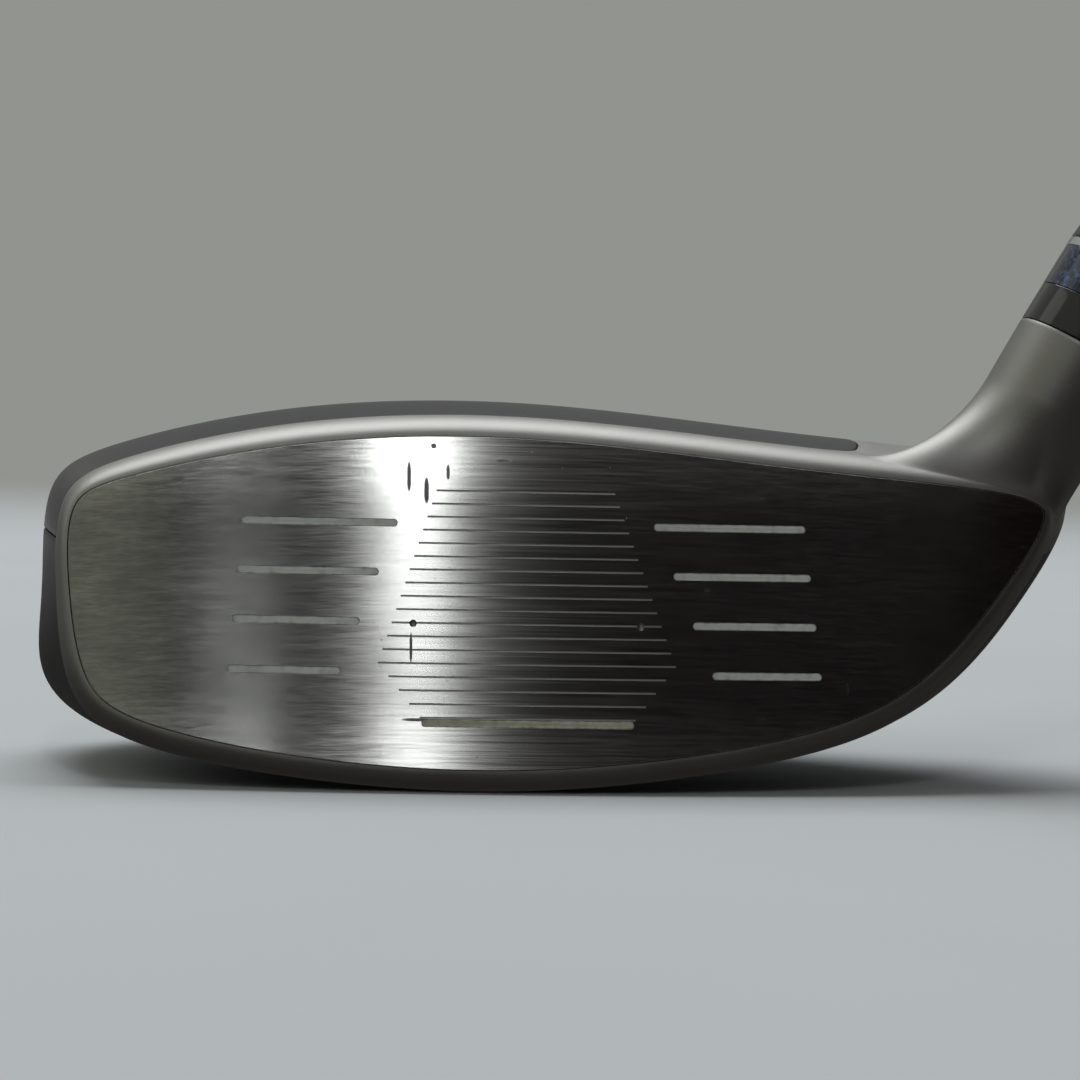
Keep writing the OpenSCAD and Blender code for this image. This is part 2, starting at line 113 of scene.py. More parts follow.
class HeadSizes(bpy.types.PropertyGroup):
    """Sizes of the head."""

    loft: angle_setting("Loft", "Slope of the face from the vertical", 20)
    face_height: size_setting("Face height", "Height of the front frame", 0.036)
    bulge: size_setting("Bulge", "Radius of the face from toe to heel", 0.33)
    roll: size_setting("Roll", "Radius of the face from sole to crown", 0.33)
    edge_depth: size_setting("Edge depth", "Depth of the rounded front edge", 0.0035)
    crown_wall: size_setting("Crown wall", "Thickness of the crown", 0.0008)
    recess: size_setting("Crown recess", "Depth of the ledge under the crown", 0.00105)
    seam: size_setting("Crown seam", "Half the gap around the crown", 0.00006)
    seam_round: size_setting("Seam rounding", "Radius of the edges along the crown seam", 0.00022)


class FaceSizes(bpy.types.PropertyGroup):
    """Sizes of the lines in the face."""

    score_width: size_setting("Score width", "Width of a score line", 0.00076)
    score_depth: size_setting("Score depth", "Depth of a score line", 0.0004)
    score_pitch: size_setting("Score pitch", "Distance between score lines along the face", 0.005)
    paint_drop: size_setting("Paint drop", "Depth of the paint under the face", 0.0001)
    milled_count: bpy.props.IntProperty(
        name="Milled lines", description="Number of fine milled lines", default=18)
    milled_top: size_setting("Milled top", "Height of the top milled line", 0.0286)
    milled_pitch: size_setting("Milled pitch", "Height from one milled line to the next", 0.001265)
    milled_width: size_setting("Milled width", "Width of a milled line", 0.00020)
    milled_depth: size_setting("Milled depth", "Depth of a milled line", 0.00003)


class Finishes(bpy.types.PropertyGroup):
    """Colours of the club."""

    steel: colour_setting("Steel", "Colour of the blasted frame", (0.33, 0.33, 0.318))
    face: colour_setting("Face", "Colour of the brushed face", (0.585, 0.60, 0.58))
    body: colour_setting("Body", "Colour of the dark body", (0.018, 0.0185, 0.020))
    crown: colour_setting("Crown", "Colour of the crown paint", (0.030, 0.031, 0.034))
    line_paint: colour_setting("Line paint", "Paint in the score lines", (0.62, 0.64, 0.61))
    ferrule: colour_setting("Ferrule", "Colour of the ferrule", (0.006, 0.0065, 0.009))
    band: colour_setting("Ferrule band", "Colour of the metallic band", (0.010, 0.021, 0.052))
    rubber: colour_setting("Grip", "Colour of the grip", (0.022, 0.022, 0.024))


class StageSizes(bpy.types.PropertyGroup):
    """The floor, the lamps and the camera."""

    floor: colour_setting("Floor", "Colour of the floor", (0.63, 0.675, 0.705))
    backdrop: colour_setting("Backdrop", "Colour behind the club", (0.285, 0.295, 0.275))
    distance: size_setting("Camera distance", "From the camera to its target", 0.318)
    target: bpy.props.FloatVectorProperty(
        name="Camera target", description="Point in the middle of the picture", size=3,
        default=(0.0006, 0.0, 0.0243), subtype="XYZ")
    azimuth: angle_setting("Azimuth", "Camera angle, towards the heel", -5)
    elevation: angle_setting("Elevation", "Camera angle above the floor", 2)
    tilt: angle_setting("Tilt", "Turn of the camera about its view", 1.2)
    lens: bpy.props.FloatProperty(
        name="Lens", description="Focal length in millimetres", default=112.0)


# Shapes


def mix(a, b, share):
    """The value between a and b."""
    return a + (b - a) * share


def smooth(value, low, high):
    """Rises from 0 at low to 1 at high."""
    share = np.clip((value - low) / (high - low), 0, 1)
    return share ** 2 * (3 - 2 * share)


def blend(distance, width):
    """A soft step across a distance of zero."""
    return 1 / (1 + np.exp(-2 * distance / width))


def curve_weights(f):
    """Weights of a uniform cubic spline."""
    return np.stack([(1 - f) ** 3, 3 * f ** 3 - 6 * f ** 2 + 4,
                     1 + 3 * f + 3 * f ** 2 - 3 * f ** 3, f ** 3], -1) / 6


def curve_slopes(f):
    """Weights of the spline's slope."""
    return np.stack([-(1 - f) ** 2, 3 * f ** 2 - 4 * f, 1 + 2 * f - 3 * f ** 2, f ** 2], -1) / 2


class HeadSkin:
    """The outer surface of the head. u runs around the outline, counterclockwise from the
    front. v runs over the rounded front edge from 0 to 1, and on to the tail at 2."""

    CROWN_FROM, CROWN_TO = 11.65, 16.5
    CROWN_FRONT, CROWN_BACK = 1.0, 1.93
    CORNER_U, CORNER_V = 0.15, 0.042
    SOLE_WALL, SKIRT_WALL = 0.0022, 0.0013
    TAIL_X, TAIL_Z = -0.004, 0.013
    NECK_U, NECK_V, NECK_DU, NECK_DV = 10.2, 0.75, 1.4, 0.65
    FOOT_PULL, TOP_PULL = 0.32, 0.25

    def __init__(self, sizes):
        self.sizes = sizes
        self.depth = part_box("head_body")[1][1]

    def outline(self, u, weights=curve_weights):
        """x, z and border width on the outline."""
        first = np.floor(u).astype(int)
        knots = OUTLINE[(first[..., None] + np.arange(-1, 3)) % TURNS]
        return (weights(u - first)[..., None] * knots).sum(axis=-2)

    def inward(self, u):
        """Direction into the face, in x and z."""
        slope = self.outline(u, curve_slopes)
        length = np.hypot(slope[..., 0], slope[..., 1])
        return np.stack([-slope[..., 1], slope[..., 0]], -1) / length[..., None]

    def face_y(self, x, z):
        """Depth of the face."""
        sizes = self.sizes
        return ((z - 0.002) * math.tan(sizes.loft) + x ** 2 / (2 * sizes.bulge)
                + (z - sizes.face_height / 2) ** 2 / (2 * sizes.roll))

    def face_normal(self, x, z):
        """Direction out of the face."""
        sizes = self.sizes
        slope_x = x / sizes.bulge
        slope_z = math.tan(sizes.loft) + (z - sizes.face_height / 2) / sizes.roll
        out = np.stack([slope_x, -np.ones_like(slope_x), slope_z], -1)
        return out / np.linalg.norm(out, axis=-1, keepdims=True)

    def point(self, u, v, depth=0.0):
        """A point at a depth under the skin."""
        u, v, depth = np.broadcast_arrays(*(np.asarray(a, float) for a in (u, v, depth)))
        edge, inward = self.outline(u), self.inward(u)
        turn = np.pi / 2 * np.minimum(v, 1)
        back = np.maximum(v - 1, 0)
        inset = mix(edge[..., 2], depth, np.sin(turn))
        x = edge[..., 0] + inward[..., 0] * inset
        z = edge[..., 1] + inward[..., 1] * inset
        y = self.face_y(x, z) + mix(self.sizes.edge_depth, depth, np.cos(turn))
        height = blend(z - self.TAIL_Z, 0.006)
        side = np.maximum(0, 1 - back ** 2.4) ** 0.417
        toe = side * (1 + mix(0.42, 0.24, height) * back)
        heel = side * (1 + mix(0.6, 0.5, height) * back - back ** 2)
        width = mix(toe, heel, blend(x - self.TAIL_X, 0.012))
        crown = np.maximum(0, 1 - back ** 2.2) ** 0.667 * (1 + 0.4 * back)
        sole = np.maximum(0, 1 - back ** 2.5) ** 0.83 * (1 + 0.06 * back)
        rise = mix(sole, crown, height)
        return np.stack([mix(self.TAIL_X, x, width), mix(y, self.depth - depth, back),
                         mix(self.TAIL_Z, z, rise)], -1)

    def wall(self, u):
        """Wall of the body, thicker towards the sole."""
        share = np.clip(self.outline(u)[..., 1] / self.sizes.face_height, 0, 1)
        return mix(self.SOLE_WALL, self.SKIRT_WALL, share)

    def pace(self, u, v, du, dv):
        """Metres of skin per unit of u or v."""
        step = self.point(u + du, v + dv) - self.point(u - du, v - dv)
        return float(np.linalg.norm(step) / (2 * (du + dv)))

    def warp(self, u, v):
        """Rounds the front corner of the crown at the heel."""
        across = np.clip(1 - (v - 1) / self.CORNER_V, 0, 1)
        shift = self.CORNER_U * (1 - np.sqrt(1 - across ** 2))
        return u + shift * np.clip(1 - abs(u - self.CROWN_FROM), 0, 1)

    def seam_lines(self, offsets):
        """Grid lines at these distances around the crown's four edges: u low, u high, v low
        and v high."""
        paces = (self.pace(self.CROWN_FROM, 1.4, 1e-3, 0), self.pace(self.CROWN_TO, 1.4, 1e-3, 0),
                 self.pace(14, 1.02, 0, 1e-3), self.pace(14, self.CROWN_BACK, 0, 1e-3))
        offsets = np.array(offsets)
        edges = (self.CROWN_FROM, self.CROWN_TO, self.CROWN_FRONT, self.CROWN_BACK)
        signs = (1, -1, 1, -1)
        return [np.sort(edge + sign * offsets / pace)
                for edge, sign, pace in zip(edges, signs, paces)], paces

    def inside_crown(self, u, v, paces):
        """Distance inside the crown's edge, negative outside it."""
        across = np.minimum((u - self.CROWN_FROM) * paces[0], (self.CROWN_TO - u) * paces[1])
        back = np.minimum((v - self.CROWN_FRONT) * paces[2], (self.CROWN_BACK - v) * paces[3])
        return np.minimum(across, back)

    def neck_foot(self, angle, share, depth=0.0):
        """The oval on the skin that the neck grows from."""
        return self.point(self.NECK_U + self.NECK_DU * share * np.cos(angle),
                          self.NECK_V + self.NECK_DV * share * np.sin(angle), depth)

    def neck(self, angle, share, top_station, top_radius):
        """The neck, from its foot to a circle around the shaft."""
        foot = self.neck_foot(angle, 1)
        around = np.cos(angle)[..., None] * ACROSS + np.sin(angle)[..., None] * BESIDE
        top = GROUND + WAY * top_station + top_radius * around
        inward = self.neck_foot(angle, 0.99) - foot
        inward = inward / np.linalg.norm(inward, axis=-1, keepdims=True)
        reach = np.linalg.norm(top - foot, axis=-1, keepdims=True)
        first = foot + inward * reach * self.FOOT_PULL
        second = top - WAY * reach * self.TOP_PULL
        w = share
        return ((1 - w) ** 3 * foot + 3 * (1 - w) ** 2 * w * first
                + 3 * (1 - w) * w ** 2 * second + w ** 3 * top)


def grid_shell(outer, inner, cells, poles=None):
    """Points and faces of a closed shell over the chosen cells of a grid. The grid is a ring
    where cells has as many rows as the grid, and poles close its last column."""
    rows, columns = outer.shape[:2]
    layer = rows * columns
    points = np.concatenate([outer.reshape(-1, 3), inner.reshape(-1, 3)])
    around = np.pad(cells, 1)
    if cells.shape[0] == rows:
        around[0, 1:-1], around[-1, 1:-1] = cells[-1], cells[0]
    i, j = np.nonzero(cells)
    corner = [((i + di) % rows) * columns + j + dj for di, dj in ((0, 0), (1, 0), (1, 1), (0, 1))]
    a, b, c, d = corner
    quads = [np.stack([a, d, c, b], 1), np.stack([a, b, c, d], 1) + layer]
    for start, end, di, dj in ((a, b, 0, -1), (b, c, 1, 0), (c, d, 0, 1), (d, a, -1, 0)):
        bare = ~around[i + 1 + di, j + 1 + dj]
        if poles is not None and dj == 1:
            bare &= j < columns - 2
        p, q = start[bare], end[bare]
        quads.append(np.stack([p, q, q + layer, p + layer], 1))
    faces = np.concatenate(quads).tolist()
    if poles is not None:
        points = np.concatenate([points, np.array(poles)])
        last = np.arange(rows) * columns + columns - 1
        after = np.roll(last, -1)
        faces += [[q, p, 2 * layer] for p, q in zip(last, after)]
        faces += [[p + layer, q + layer, 2 * layer + 1] for p, q in zip(last, after)]
    used = np.unique(np.concatenate([np.array(face) for face in faces]))
    fresh = np.zeros(len(points), int)
    fresh[used] = np.arange(len(used))
    return points[used], [[int(fresh[k]) for k in face] for face in faces], used


def loft(rings):
    """Points and faces of a closed solid through rings of points, with a fan at each end."""
    rings = np.array(rings)
    count, sides = rings.shape[:2]
    points = np.concatenate([rings.reshape(-1, 3), [rings[0].mean(0), rings[-1].mean(0)]])
    k = np.arange(sides)
    after = (k + 1) % sides
    faces = []
    for ring in range(count - 1):
        low, high = ring * sides, (ring + 1) * sides
        faces += np.stack([low + k, low + after, high + after, high + k], 1).tolist()
    foot, top = count * sides, count * sides + 1
    faces += [[int(a), foot, int(b)] for a, b in zip(k, after)]
    high = (count - 1) * sides
    faces += [[high + int(a), high + int(b), top] for a, b in zip(k, after)]
    return points, faces


def turned(profile, sides=96):
    """Points and faces of a closed piece turned around the shaft's axis. The profile is a
    closed loop of height and radius."""
    profile = np.array(profile)
    angle = np.linspace(0, 2 * np.pi, sides, endpoint=False)
    height = np.repeat(profile[:, 0], sides)
    radius = np.repeat(profile[:, 1], sides)
    turn = np.tile(angle, len(profile))
    points = on_shaft(radius * np.cos(turn), radius * np.sin(turn), height)
    k = np.arange(sides)
    after = (k + 1) % sides
    faces = []
    for row in range(len(profile)):
        low, high = row * sides, (row + 1) % len(profile) * sides
        faces += np.stack([low + k, low + after, high + after, high + k], 1).tolist()
    return points, faces


def on_shaft(x, y, height):
    """Places points along the shaft, with their height from the ground."""
    return (GROUND + np.multiply.outer(x, ACROSS) + np.multiply.outer(y, BESIDE)
            + np.multiply.outer(height, WAY))


def rounded(profile, radius, steps=4):
    """A closed profile with its corners rounded."""
    profile = np.array(profile, float)
    result = []
    for before, corner, after in zip(np.roll(profile, 1, 0), profile, np.roll(profile, -1, 0)):
        in_length, out_length = np.linalg.norm(before - corner), np.linalg.norm(after - corner)
        reach = min(radius, in_length * 0.45, out_length * 0.45)
        start = corner + (before - corner) / in_length * reach
        end = corner + (after - corner) / out_length * reach
        for step in range(steps + 1):
            t = step / steps
            result.append((1 - t) ** 2 * start + 2 * (1 - t) * t * corner + t ** 2 * end)
    return np.array(result)


def joined(*parts):
    """Several lots of points and faces as one."""
    points, faces, offset = [], [], 0
    for part_points, part_faces in parts:
        points.append(np.array(part_points))
        faces += [[int(k) + offset for k in face] for face in part_faces]
        offset += len(part_points)
    return np.concatenate(points), faces


def new_mesh(name, points, faces, closed=True):
    """A smooth mesh object with sharp edges, its faces outwards where it is closed."""
    mesh = bpy.data.meshes.new(name)
    mesh.from_pydata(np.asarray(points).tolist(), [], faces)
    mesh.validate()
    obj = bpy.data.objects.new(name, mesh)
    bpy.context.scene.collection.objects.link(obj)
    if closed:
        turn_outwards(mesh)
    mesh.shade_smooth()
    mesh.set_sharp_from_angle(angle=SHARP)
    return obj


def keep_numbers(mesh, name, values):
    """Stores a number on each point of a mesh."""
    layer = mesh.attributes.new(name, "FLOAT", "POINT")
    layer.data.foreach_set("value", np.asarray(values, np.float32))


def turn_outwards(mesh):
    """Turns the faces of a closed mesh outwards."""
    shape = bmesh.new()
    shape.from_mesh(mesh)
    bmesh.ops.recalc_face_normals(shape, faces=shape.faces)
    shape.to_mesh(mesh)
    shape.free()


def finish_piece(obj, material, nodes):
    """Gives a finished piece its material and its place in the frame."""
    obj.data.materials.clear()
    obj.data.materials.append(material)
    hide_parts(*nodes)
    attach(obj, "root")


# Nodes


class Number:
    """A node's output, used in expressions."""

    def __init__(self, nodes, socket):
        self.nodes = nodes
        self.socket = socket

    def math(self, operation, *values):
        """A Math node on this number and others."""
        return self.nodes.math(operation, self, *values)

    def __add__(self, other):
        return self.math("ADD", other)

    __radd__ = __add__

    def __sub__(self, other):
        return self.math("SUBTRACT", other)

    def __rsub__(self, other):
        return self.nodes.math("SUBTRACT", other, self)

    def __mul__(self, other):
        return self.math("MULTIPLY", other)

    __rmul__ = __mul__

    def __truediv__(self, other):
        return self.math("DIVIDE", other)

    def __pow__(self, other):
        return self.math("POWER", other)

    def __abs__(self):
        return self.math("ABSOLUTE")


class Nodes:
    """Adds nodes to a tree: any node, and the steps, ranges and tints that finishes need."""

    def __init__(self, tree):
        self.tree = tree

    def plug(self, socket, value):
        """Links an output to a socket, or sets the socket's value."""
        if isinstance(value, Number):
            value = value.socket
        if isinstance(value, bpy.types.NodeSocket):
            self.tree.links.new(value, socket)
        else:
            socket.default_value = value

    def add(self, kind, settings=None, inputs=None):
        """A node of a type, with its settings made first and then its sockets."""
        node = self.tree.nodes.new(kind)
        for key, value in (settings or {}).items():
            setattr(node, key, value)
        for key, value in (inputs or {}).items():
            self.plug(node.inputs[key], value)
        return node

    def math(self, operation, *values):
        """A Math node's number."""
        node = self.add("ShaderNodeMath", {"operation": operation}, dict(enumerate(values)))
        return Number(self, node.outputs[0])

    def out(self, node, name=0):
        """An output as a number."""
        return Number(self, node.outputs[name])

    def step(self, value, low, high):
        """Rises from 0 to 1 between two values."""
        node = self.add("ShaderNodeMapRange", {"interpolation_type": "SMOOTHSTEP"}, {
            "Value": value, "From Min": low, "From Max": high, "To Min": 0.0, "To Max": 1.0})
        return self.out(node)

    def range(self, value, low, high):
        """Spreads 0 to 1 over low to high."""
        return value * (high - low) + low

    def tint(self, share, first, second):
        """A colour between two."""
        node = self.add("ShaderNodeMix", {"data_type": "RGBA"}, {
            "Factor": share, 6: paint(first), 7: paint(second)})
        return node.outputs[2]


class Finish(Nodes):
    """A material on Object coordinates, with the patterns that its finish needs."""

    def __init__(self, name):
        self.material = bpy.data.materials.new(name)
        self.material.use_nodes = True
        super().__init__(self.material.node_tree)
        self.shader = self.tree.nodes["Principled BSDF"]
        self.place = self.add("ShaderNodeTexCoord").outputs["Object"]

    def axes(self):
        """x, y and z of the place, in metres."""
        split = self.add("ShaderNodeSeparateXYZ", inputs={0: self.place})
        return [self.out(split, k) for k in range(3)]

    def kept(self, name):
        """A number that the mesh carries."""
        return self.out(self.add("ShaderNodeAttribute", {"attribute_name": name}), "Fac")

    def noise(self, scale, detail=3.0, stretch=(1, 1, 1), turn=(0, 0, 0), shift=(0, 0, 0)):
        """Noise around 0.5, with scale patches to the metre that stretch makes longer."""
        mapping = self.add("ShaderNodeMapping", {"vector_type": "TEXTURE"}, {
            "Vector": self.place, "Location": shift, "Rotation": turn, "Scale": stretch})
        node = self.add("ShaderNodeTexNoise", inputs={
            "Vector": mapping.outputs[0], "Scale": scale, "Detail": detail, "Roughness": 0.5})
        return self.out(node, "Fac")

    def cells(self, scale):
        """Scattered cells, scale of them to the metre."""
        return self.add("ShaderNodeTexVoronoi", inputs={"Vector": self.place, "Scale": scale})

    def bump(self, height, distance, under=None):
        """Bumps of a height in metres, over the bumps under them."""
        inputs = {"Height": height, "Distance": distance, "Strength": 1.0}
        if under is not None:
            inputs["Normal"] = under
        return self.add("ShaderNodeBump", inputs=inputs).outputs[0]

    def set(self, **values):
        """Sets sockets of the shader, with underscores for the spaces in their names."""
        for key, value in values.items():
            self.plug(self.shader.inputs[key.replace("_", " ")], value)
        return self.material


def paint(colour):
    """A colour with its alpha, or a link as it is."""
    if isinstance(colour, (Number, bpy.types.NodeSocket)):
        return colour
    return (*colour, 1.0)


def shade(colour, factor):
    """A darker or lighter colour."""
    return tuple(min(1.0, c * factor) for c in colour)


# Finishes

# Turns a pattern's z axis along the shaft.
LEAN = (0, math.atan2(WAY[0], WAY[2]), 0)

# Scuffs on the face: x, z, half width and half height in millimetres.
SCUFFS = [
    (-11.4, 29.9, 0.34, 2.2), (-9.7, 28.6, 0.42, 1.9), (-7.6, 30.4, 0.30, 1.1),
    (-9.0, 32.9, 0.45, 0.4), (-11.2, 13.6, 0.26, 2.2), (-10.6, 6.9, 2.6, 0.24),
    (-2.2, 31.6, 1.3, 0.22), (31.2, 10.2, 0.24, 0.8), (17.6, 19.5, 0.5, 0.3),
]


def brushed_face(colours, sizes):
    """Brushed steel of the face plate, with its scuffs, painted shade across its middle height, and its
    duller milled lines with a painted highlight.
    """
    m = Finish("brushed_face")
    x, y, z = m.axes()
    above = z - sizes.face_height / 2
    curve = x * x / (2 * sizes.bulge) + above * above / (2 * sizes.roll)
    open_face = (z - 0.002) * math.tan(sizes.loft) + curve
    milled = m.step(y - open_face, 0.000006, 0.000016)
    lines = m.noise(8000, 2, stretch=(160, 1, 1))
    broad = m.noise(2600, 3, stretch=(90, 1, 1), shift=(0.3, 0, 0))
    grime = m.noise(160, 4)
    marks = 0.0
    for mark_x, mark_z, half_x, half_z in SCUFFS:
        side = 1 - m.step(abs(x - mark_x * MM), 0.0, half_x * MM)
        rise = 1 - m.step(abs(z - mark_z * MM), half_z * 0.2 * MM, half_z * MM)
        marks = side * rise + marks
    marks = m.step(marks * m.range(grime, 0.5, 1.3), 0.25, 0.7)
    flecks = m.step(m.noise(2600, 2, shift=(0.1, 0, 0.2)), 0.76, 0.80)
    streaks = m.step(broad * 0.5 + lines * 0.5, 0.32, 0.68)
    tone = m.tint(streaks, shade(colours.face, 0.62), shade(colours.face, 1.25))
    dark = m.tint(m.step(grime, 0.35, 0.85) * 0.22, tone, shade(colours.face, 0.45))
    # Painted shade, not wear: the face is darkened across its middle height so that the mirrored streak looks
    # brighter at its top and bottom.
    middle_shade = m.step(z, 0.002, 0.010) * (1 - m.step(z, 0.0255, 0.0325))
    middle_shade = middle_shade * m.range(grime, 0.7, 1.1)
    used = m.tint(middle_shade * 0.72, dark, shade(colours.face, 0.22))
    # Painted highlight: the milled lines are coloured lighter than the brushed face around them.
    cut = m.tint(milled * 0.85, used, shade(colours.face, 1.1))
    worn = m.tint(marks * 0.5, cut, (0.03, 0.027, 0.024))
    rough = m.range(lines, 0.16, 0.26) + broad * 0.04 + marks * 0.3 + milled * 0.45
    hairs = m.bump(lines, 0.0000013)
    relief = m.bump(flecks, 0.00001, under=hairs)
    return m.set(Base_Color=worn, Metallic=1.0, Roughness=rough, Anisotropic=0.97,
                 Anisotropic_Rotation=0.25, Normal=relief)


def blasted(m, colour):
    """Colour, roughness and relief of bead-blasted steel."""
    fine = m.noise(9000, 2)
    cloudy = m.noise(220, 4, shift=(0.2, 0.1, 0))
    nicks = m.step(m.noise(900, 2, shift=(0, 0.4, 0.1)), 0.79, 0.83)
    tone = m.tint(cloudy, shade(colour, 0.90), shade(colour, 1.08))
    tone = m.tint(nicks * 0.8, tone, shade(colour, 0.25))
    rough = m.range(cloudy, 0.44, 0.54) + (fine - 0.5) * 0.10
    return tone, rough, m.bump(fine, 0.000010, under=m.bump(nicks, 0.00004))


def satin_steel(colours):
    """Blasted steel of the hosel."""
    m = Finish("satin_steel")
    tone, rough, relief = blasted(m, colours.steel)
    return m.set(Base_Color=tone, Metallic=1.0, Roughness=rough, Normal=relief)


def cast_steel(colours):
    """Blasted steel at the front and dark coating at the back, parted by an attribute."""
    m = Finish("cast_steel")
    steel, steel_rough, relief = blasted(m, colours.steel)
    satin = m.step(m.kept("satin"), -0.05, 0.05)
    cloudy = m.noise(300, 4, shift=(0.5, 0, 0))
    rubs = m.step(m.noise(1400, 3, stretch=(1, 6, 1)), 0.70, 0.78)
    coat = m.tint(cloudy, shade(colours.body, 0.8), shade(colours.body, 1.3))
    coat = m.tint(rubs * 0.35, coat, shade(colours.body, 3.2))
    rough = m.range(cloudy, 0.28, 0.40)
    m.set(Specular_IOR_Level=0.3)
    return m.set(
        Base_Color=m.tint(satin, coat, steel), Metallic=satin,
        Roughness=satin * (steel_rough - rough) + rough, Normal=relief)


def crown_paint(colours):
    """Dark satin paint with a fine metallic grain."""
    m = Finish("crown_paint")
    grain = m.out(m.cells(5200), "Distance")
    cloudy = m.noise(120, 3)
    flake = 1 - m.step(grain, 0.12, 0.34)
    tone = m.tint(flake * 0.5, m.tint(cloudy, shade(colours.crown, 0.85), shade(colours.crown, 1.15)),
                  shade(colours.crown, 3.0))
    scratches = m.step(m.noise(1100, 2, stretch=(1, 14, 1), shift=(0.7, 0, 0)), 0.72, 0.76)
    return m.set(Base_Color=tone, Metallic=0.2, Roughness=m.range(cloudy, 0.30, 0.38) + scratches * 0.12,
                 Coat_Weight=0.2, Coat_Roughness=0.2, Normal=m.bump(m.noise(2600, 2), 0.000006))


def line_paint(colours):
    """White paint in the score lines, with painted shade along its rim, and dirty in the lowest line."""
    m = Finish("line_paint")
    z = m.axes()[2]
    rim = m.kept("rim")
    dirt = m.noise(1400, 4)
    low = 1 - m.step(z, 0.0075, 0.0085)
    # Painted shade: the paint turns nearly black towards its rim, where the groove's walls shade it, and the
    # dirt noise breaks up that line.
    edge = m.step(rim + (dirt - 0.5) * 0.5, 0.72, 1.02)
    tone = m.tint(m.step(dirt, 0.45, 0.75) * 0.45, colours.line_paint, shade(colours.line_paint, 0.55))
    tone = m.tint(low * m.range(dirt, 0.1, 1.0), tone, (0.42, 0.38, 0.24))
    tone = m.tint(edge * 0.75, tone, (0.045, 0.042, 0.038))
    return m.set(Base_Color=tone, Roughness=m.range(dirt, 0.45, 0.7), Normal=m.bump(dirt, 0.00003))


def moulded(name, colour, roughness, coat):
    """Glossy moulded plastic with a faint orange peel and fine scratches."""
    m = Finish(name)
    peel = m.noise(1800, 2)
    smears = m.noise(260, 4, shift=(0.3, 0.2, 0))
    scratches = m.step(m.noise(1500, 2, stretch=(1, 1, 12), turn=LEAN), 0.74, 0.78)
    tone = m.tint(smears, shade(colour, 0.85), shade(colour, 1.25))
    return m.set(Base_Color=m.tint(scratches * 0.4, tone, shade(colour, 2.5)),
                 Roughness=m.range(smears, roughness * 0.8, roughness * 1.3) + scratches * 0.1,
                 Coat_Weight=coat, Coat_Roughness=0.06, Normal=m.bump(peel, 0.000006))


def flaked(name, colour):
    """Clear-coated paint full of metal flakes."""
    m = Finish(name)
    split = m.add("ShaderNodeSeparateColor", inputs={0: m.cells(2600).outputs["Color"]})
    bright = m.out(split, 0) ** 3.0
    tone = m.tint(bright, shade(colour, 0.5), shade(colour, 4.5))
    return m.set(Base_Color=tone, Metallic=0.8, Roughness=m.range(m.out(split, 1), 0.22, 0.45),
                 Coat_Weight=1.0, Coat_Roughness=0.05,
                 Normal=m.bump(m.out(split, 2), 0.00002))


def machined(name, colour, roughness):
    """Turned or milled metal with fine rings and small nicks."""
    m = Finish(name)
    rings = m.noise(5000, 2, stretch=(6, 6, 1), turn=LEAN)
    cloudy = m.noise(300, 3)
    nicks = m.step(m.noise(1500, 2, shift=(0.2, 0, 0)), 0.76, 0.80)
    tone = m.tint(cloudy, shade(colour, 0.85), shade(colour, 1.1))
    return m.set(Base_Color=m.tint(nicks * 0.6, tone, shade(colour, 0.4)), Metallic=1.0,
                 Roughness=m.range(rings, roughness * 0.75, roughness * 1.3),
                 Normal=m.bump(rings, 0.000005))


def graphite():
    """Clear-coated graphite, its fibres wound along the shaft."""
    m = Finish("graphite")
    fibres = m.noise(2500, 3, stretch=(1, 1, 14), turn=(0.25, LEAN[1], 0.2))
    crossing = m.noise(2500, 3, stretch=(1, 1, 14), turn=(-0.25, LEAN[1], -0.2))
    weave = fibres * crossing * 4
    tone = m.tint(m.step(weave, 0.6, 1.5), (0.012, 0.013, 0.015), (0.055, 0.058, 0.064))
    return m.set(Base_Color=tone, Metallic=0.3, Roughness=m.range(m.noise(200, 3), 0.28, 0.40),
                 Coat_Weight=0.8, Coat_Roughness=0.08, Normal=m.bump(weave, 0.000006))


def rubber(name, colour):
    """Matt rubber with a fine grain and a little dust."""
    m = Finish(name)
    grain = m.noise(5200, 3)
    dust = m.step(m.noise(90, 4) * 0.7 + m.noise(700, 3) * 0.3, 0.50, 0.66)
    tone = m.tint(grain, shade(colour, 0.8), shade(colour, 1.3))
    return m.set(Base_Color=m.tint(dust * 0.25, tone, shade(colour, 3.0)),
                 Roughness=m.range(grain, 0.62, 0.85), Normal=m.bump(grain, 0.00003))


def filling(name, colour, second, scale, roughness, metallic=0.0):
    """A speckled inner material: cast, poured, woven or pressed."""
    m = Finish(name)
    patches = m.noise(scale, 4)
    specks = m.step(m.out(m.cells(scale * 2.5), "Distance"), 0.15, 0.45)
    tone = m.tint(patches * 0.6 + specks * 0.4, second, colour)
    return m.set(Base_Color=tone, Metallic=metallic,
                 Roughness=m.range(patches, roughness * 0.8, min(1.0, roughness * 1.2)),
                 Normal=m.bump(patches + specks * 0.5, 0.00003))


# Pieces


class PieceOperator:
    """What the operators share: they run make() and raise where it fails."""

    bl_options = {"REGISTER", "UNDO"}

    def execute(self, context):
        """Makes the pieces."""
        self.make(context.scene)
        return {"FINISHED"}


# Shares of a rounded edge where the grids have lines, the width of the ledge under the
# crown, and the least step in u that closes the body's ring.
SEAM_STEPS = [0, 0.13, 0.5, 1]
LEDGE = 0.0016
RING_GAP = 0.02


def grid_lines(*parts):
    """The lines of a grid in order, each of them once."""
    return np.unique(np.round(np.concatenate(parts), 6))


def edge_drop(reach, radius):
    """How deep a rounded edge lies, some reach past its start."""
    reach = np.clip(reach, 0, radius)
    return radius - np.sqrt(radius ** 2 - reach ** 2)


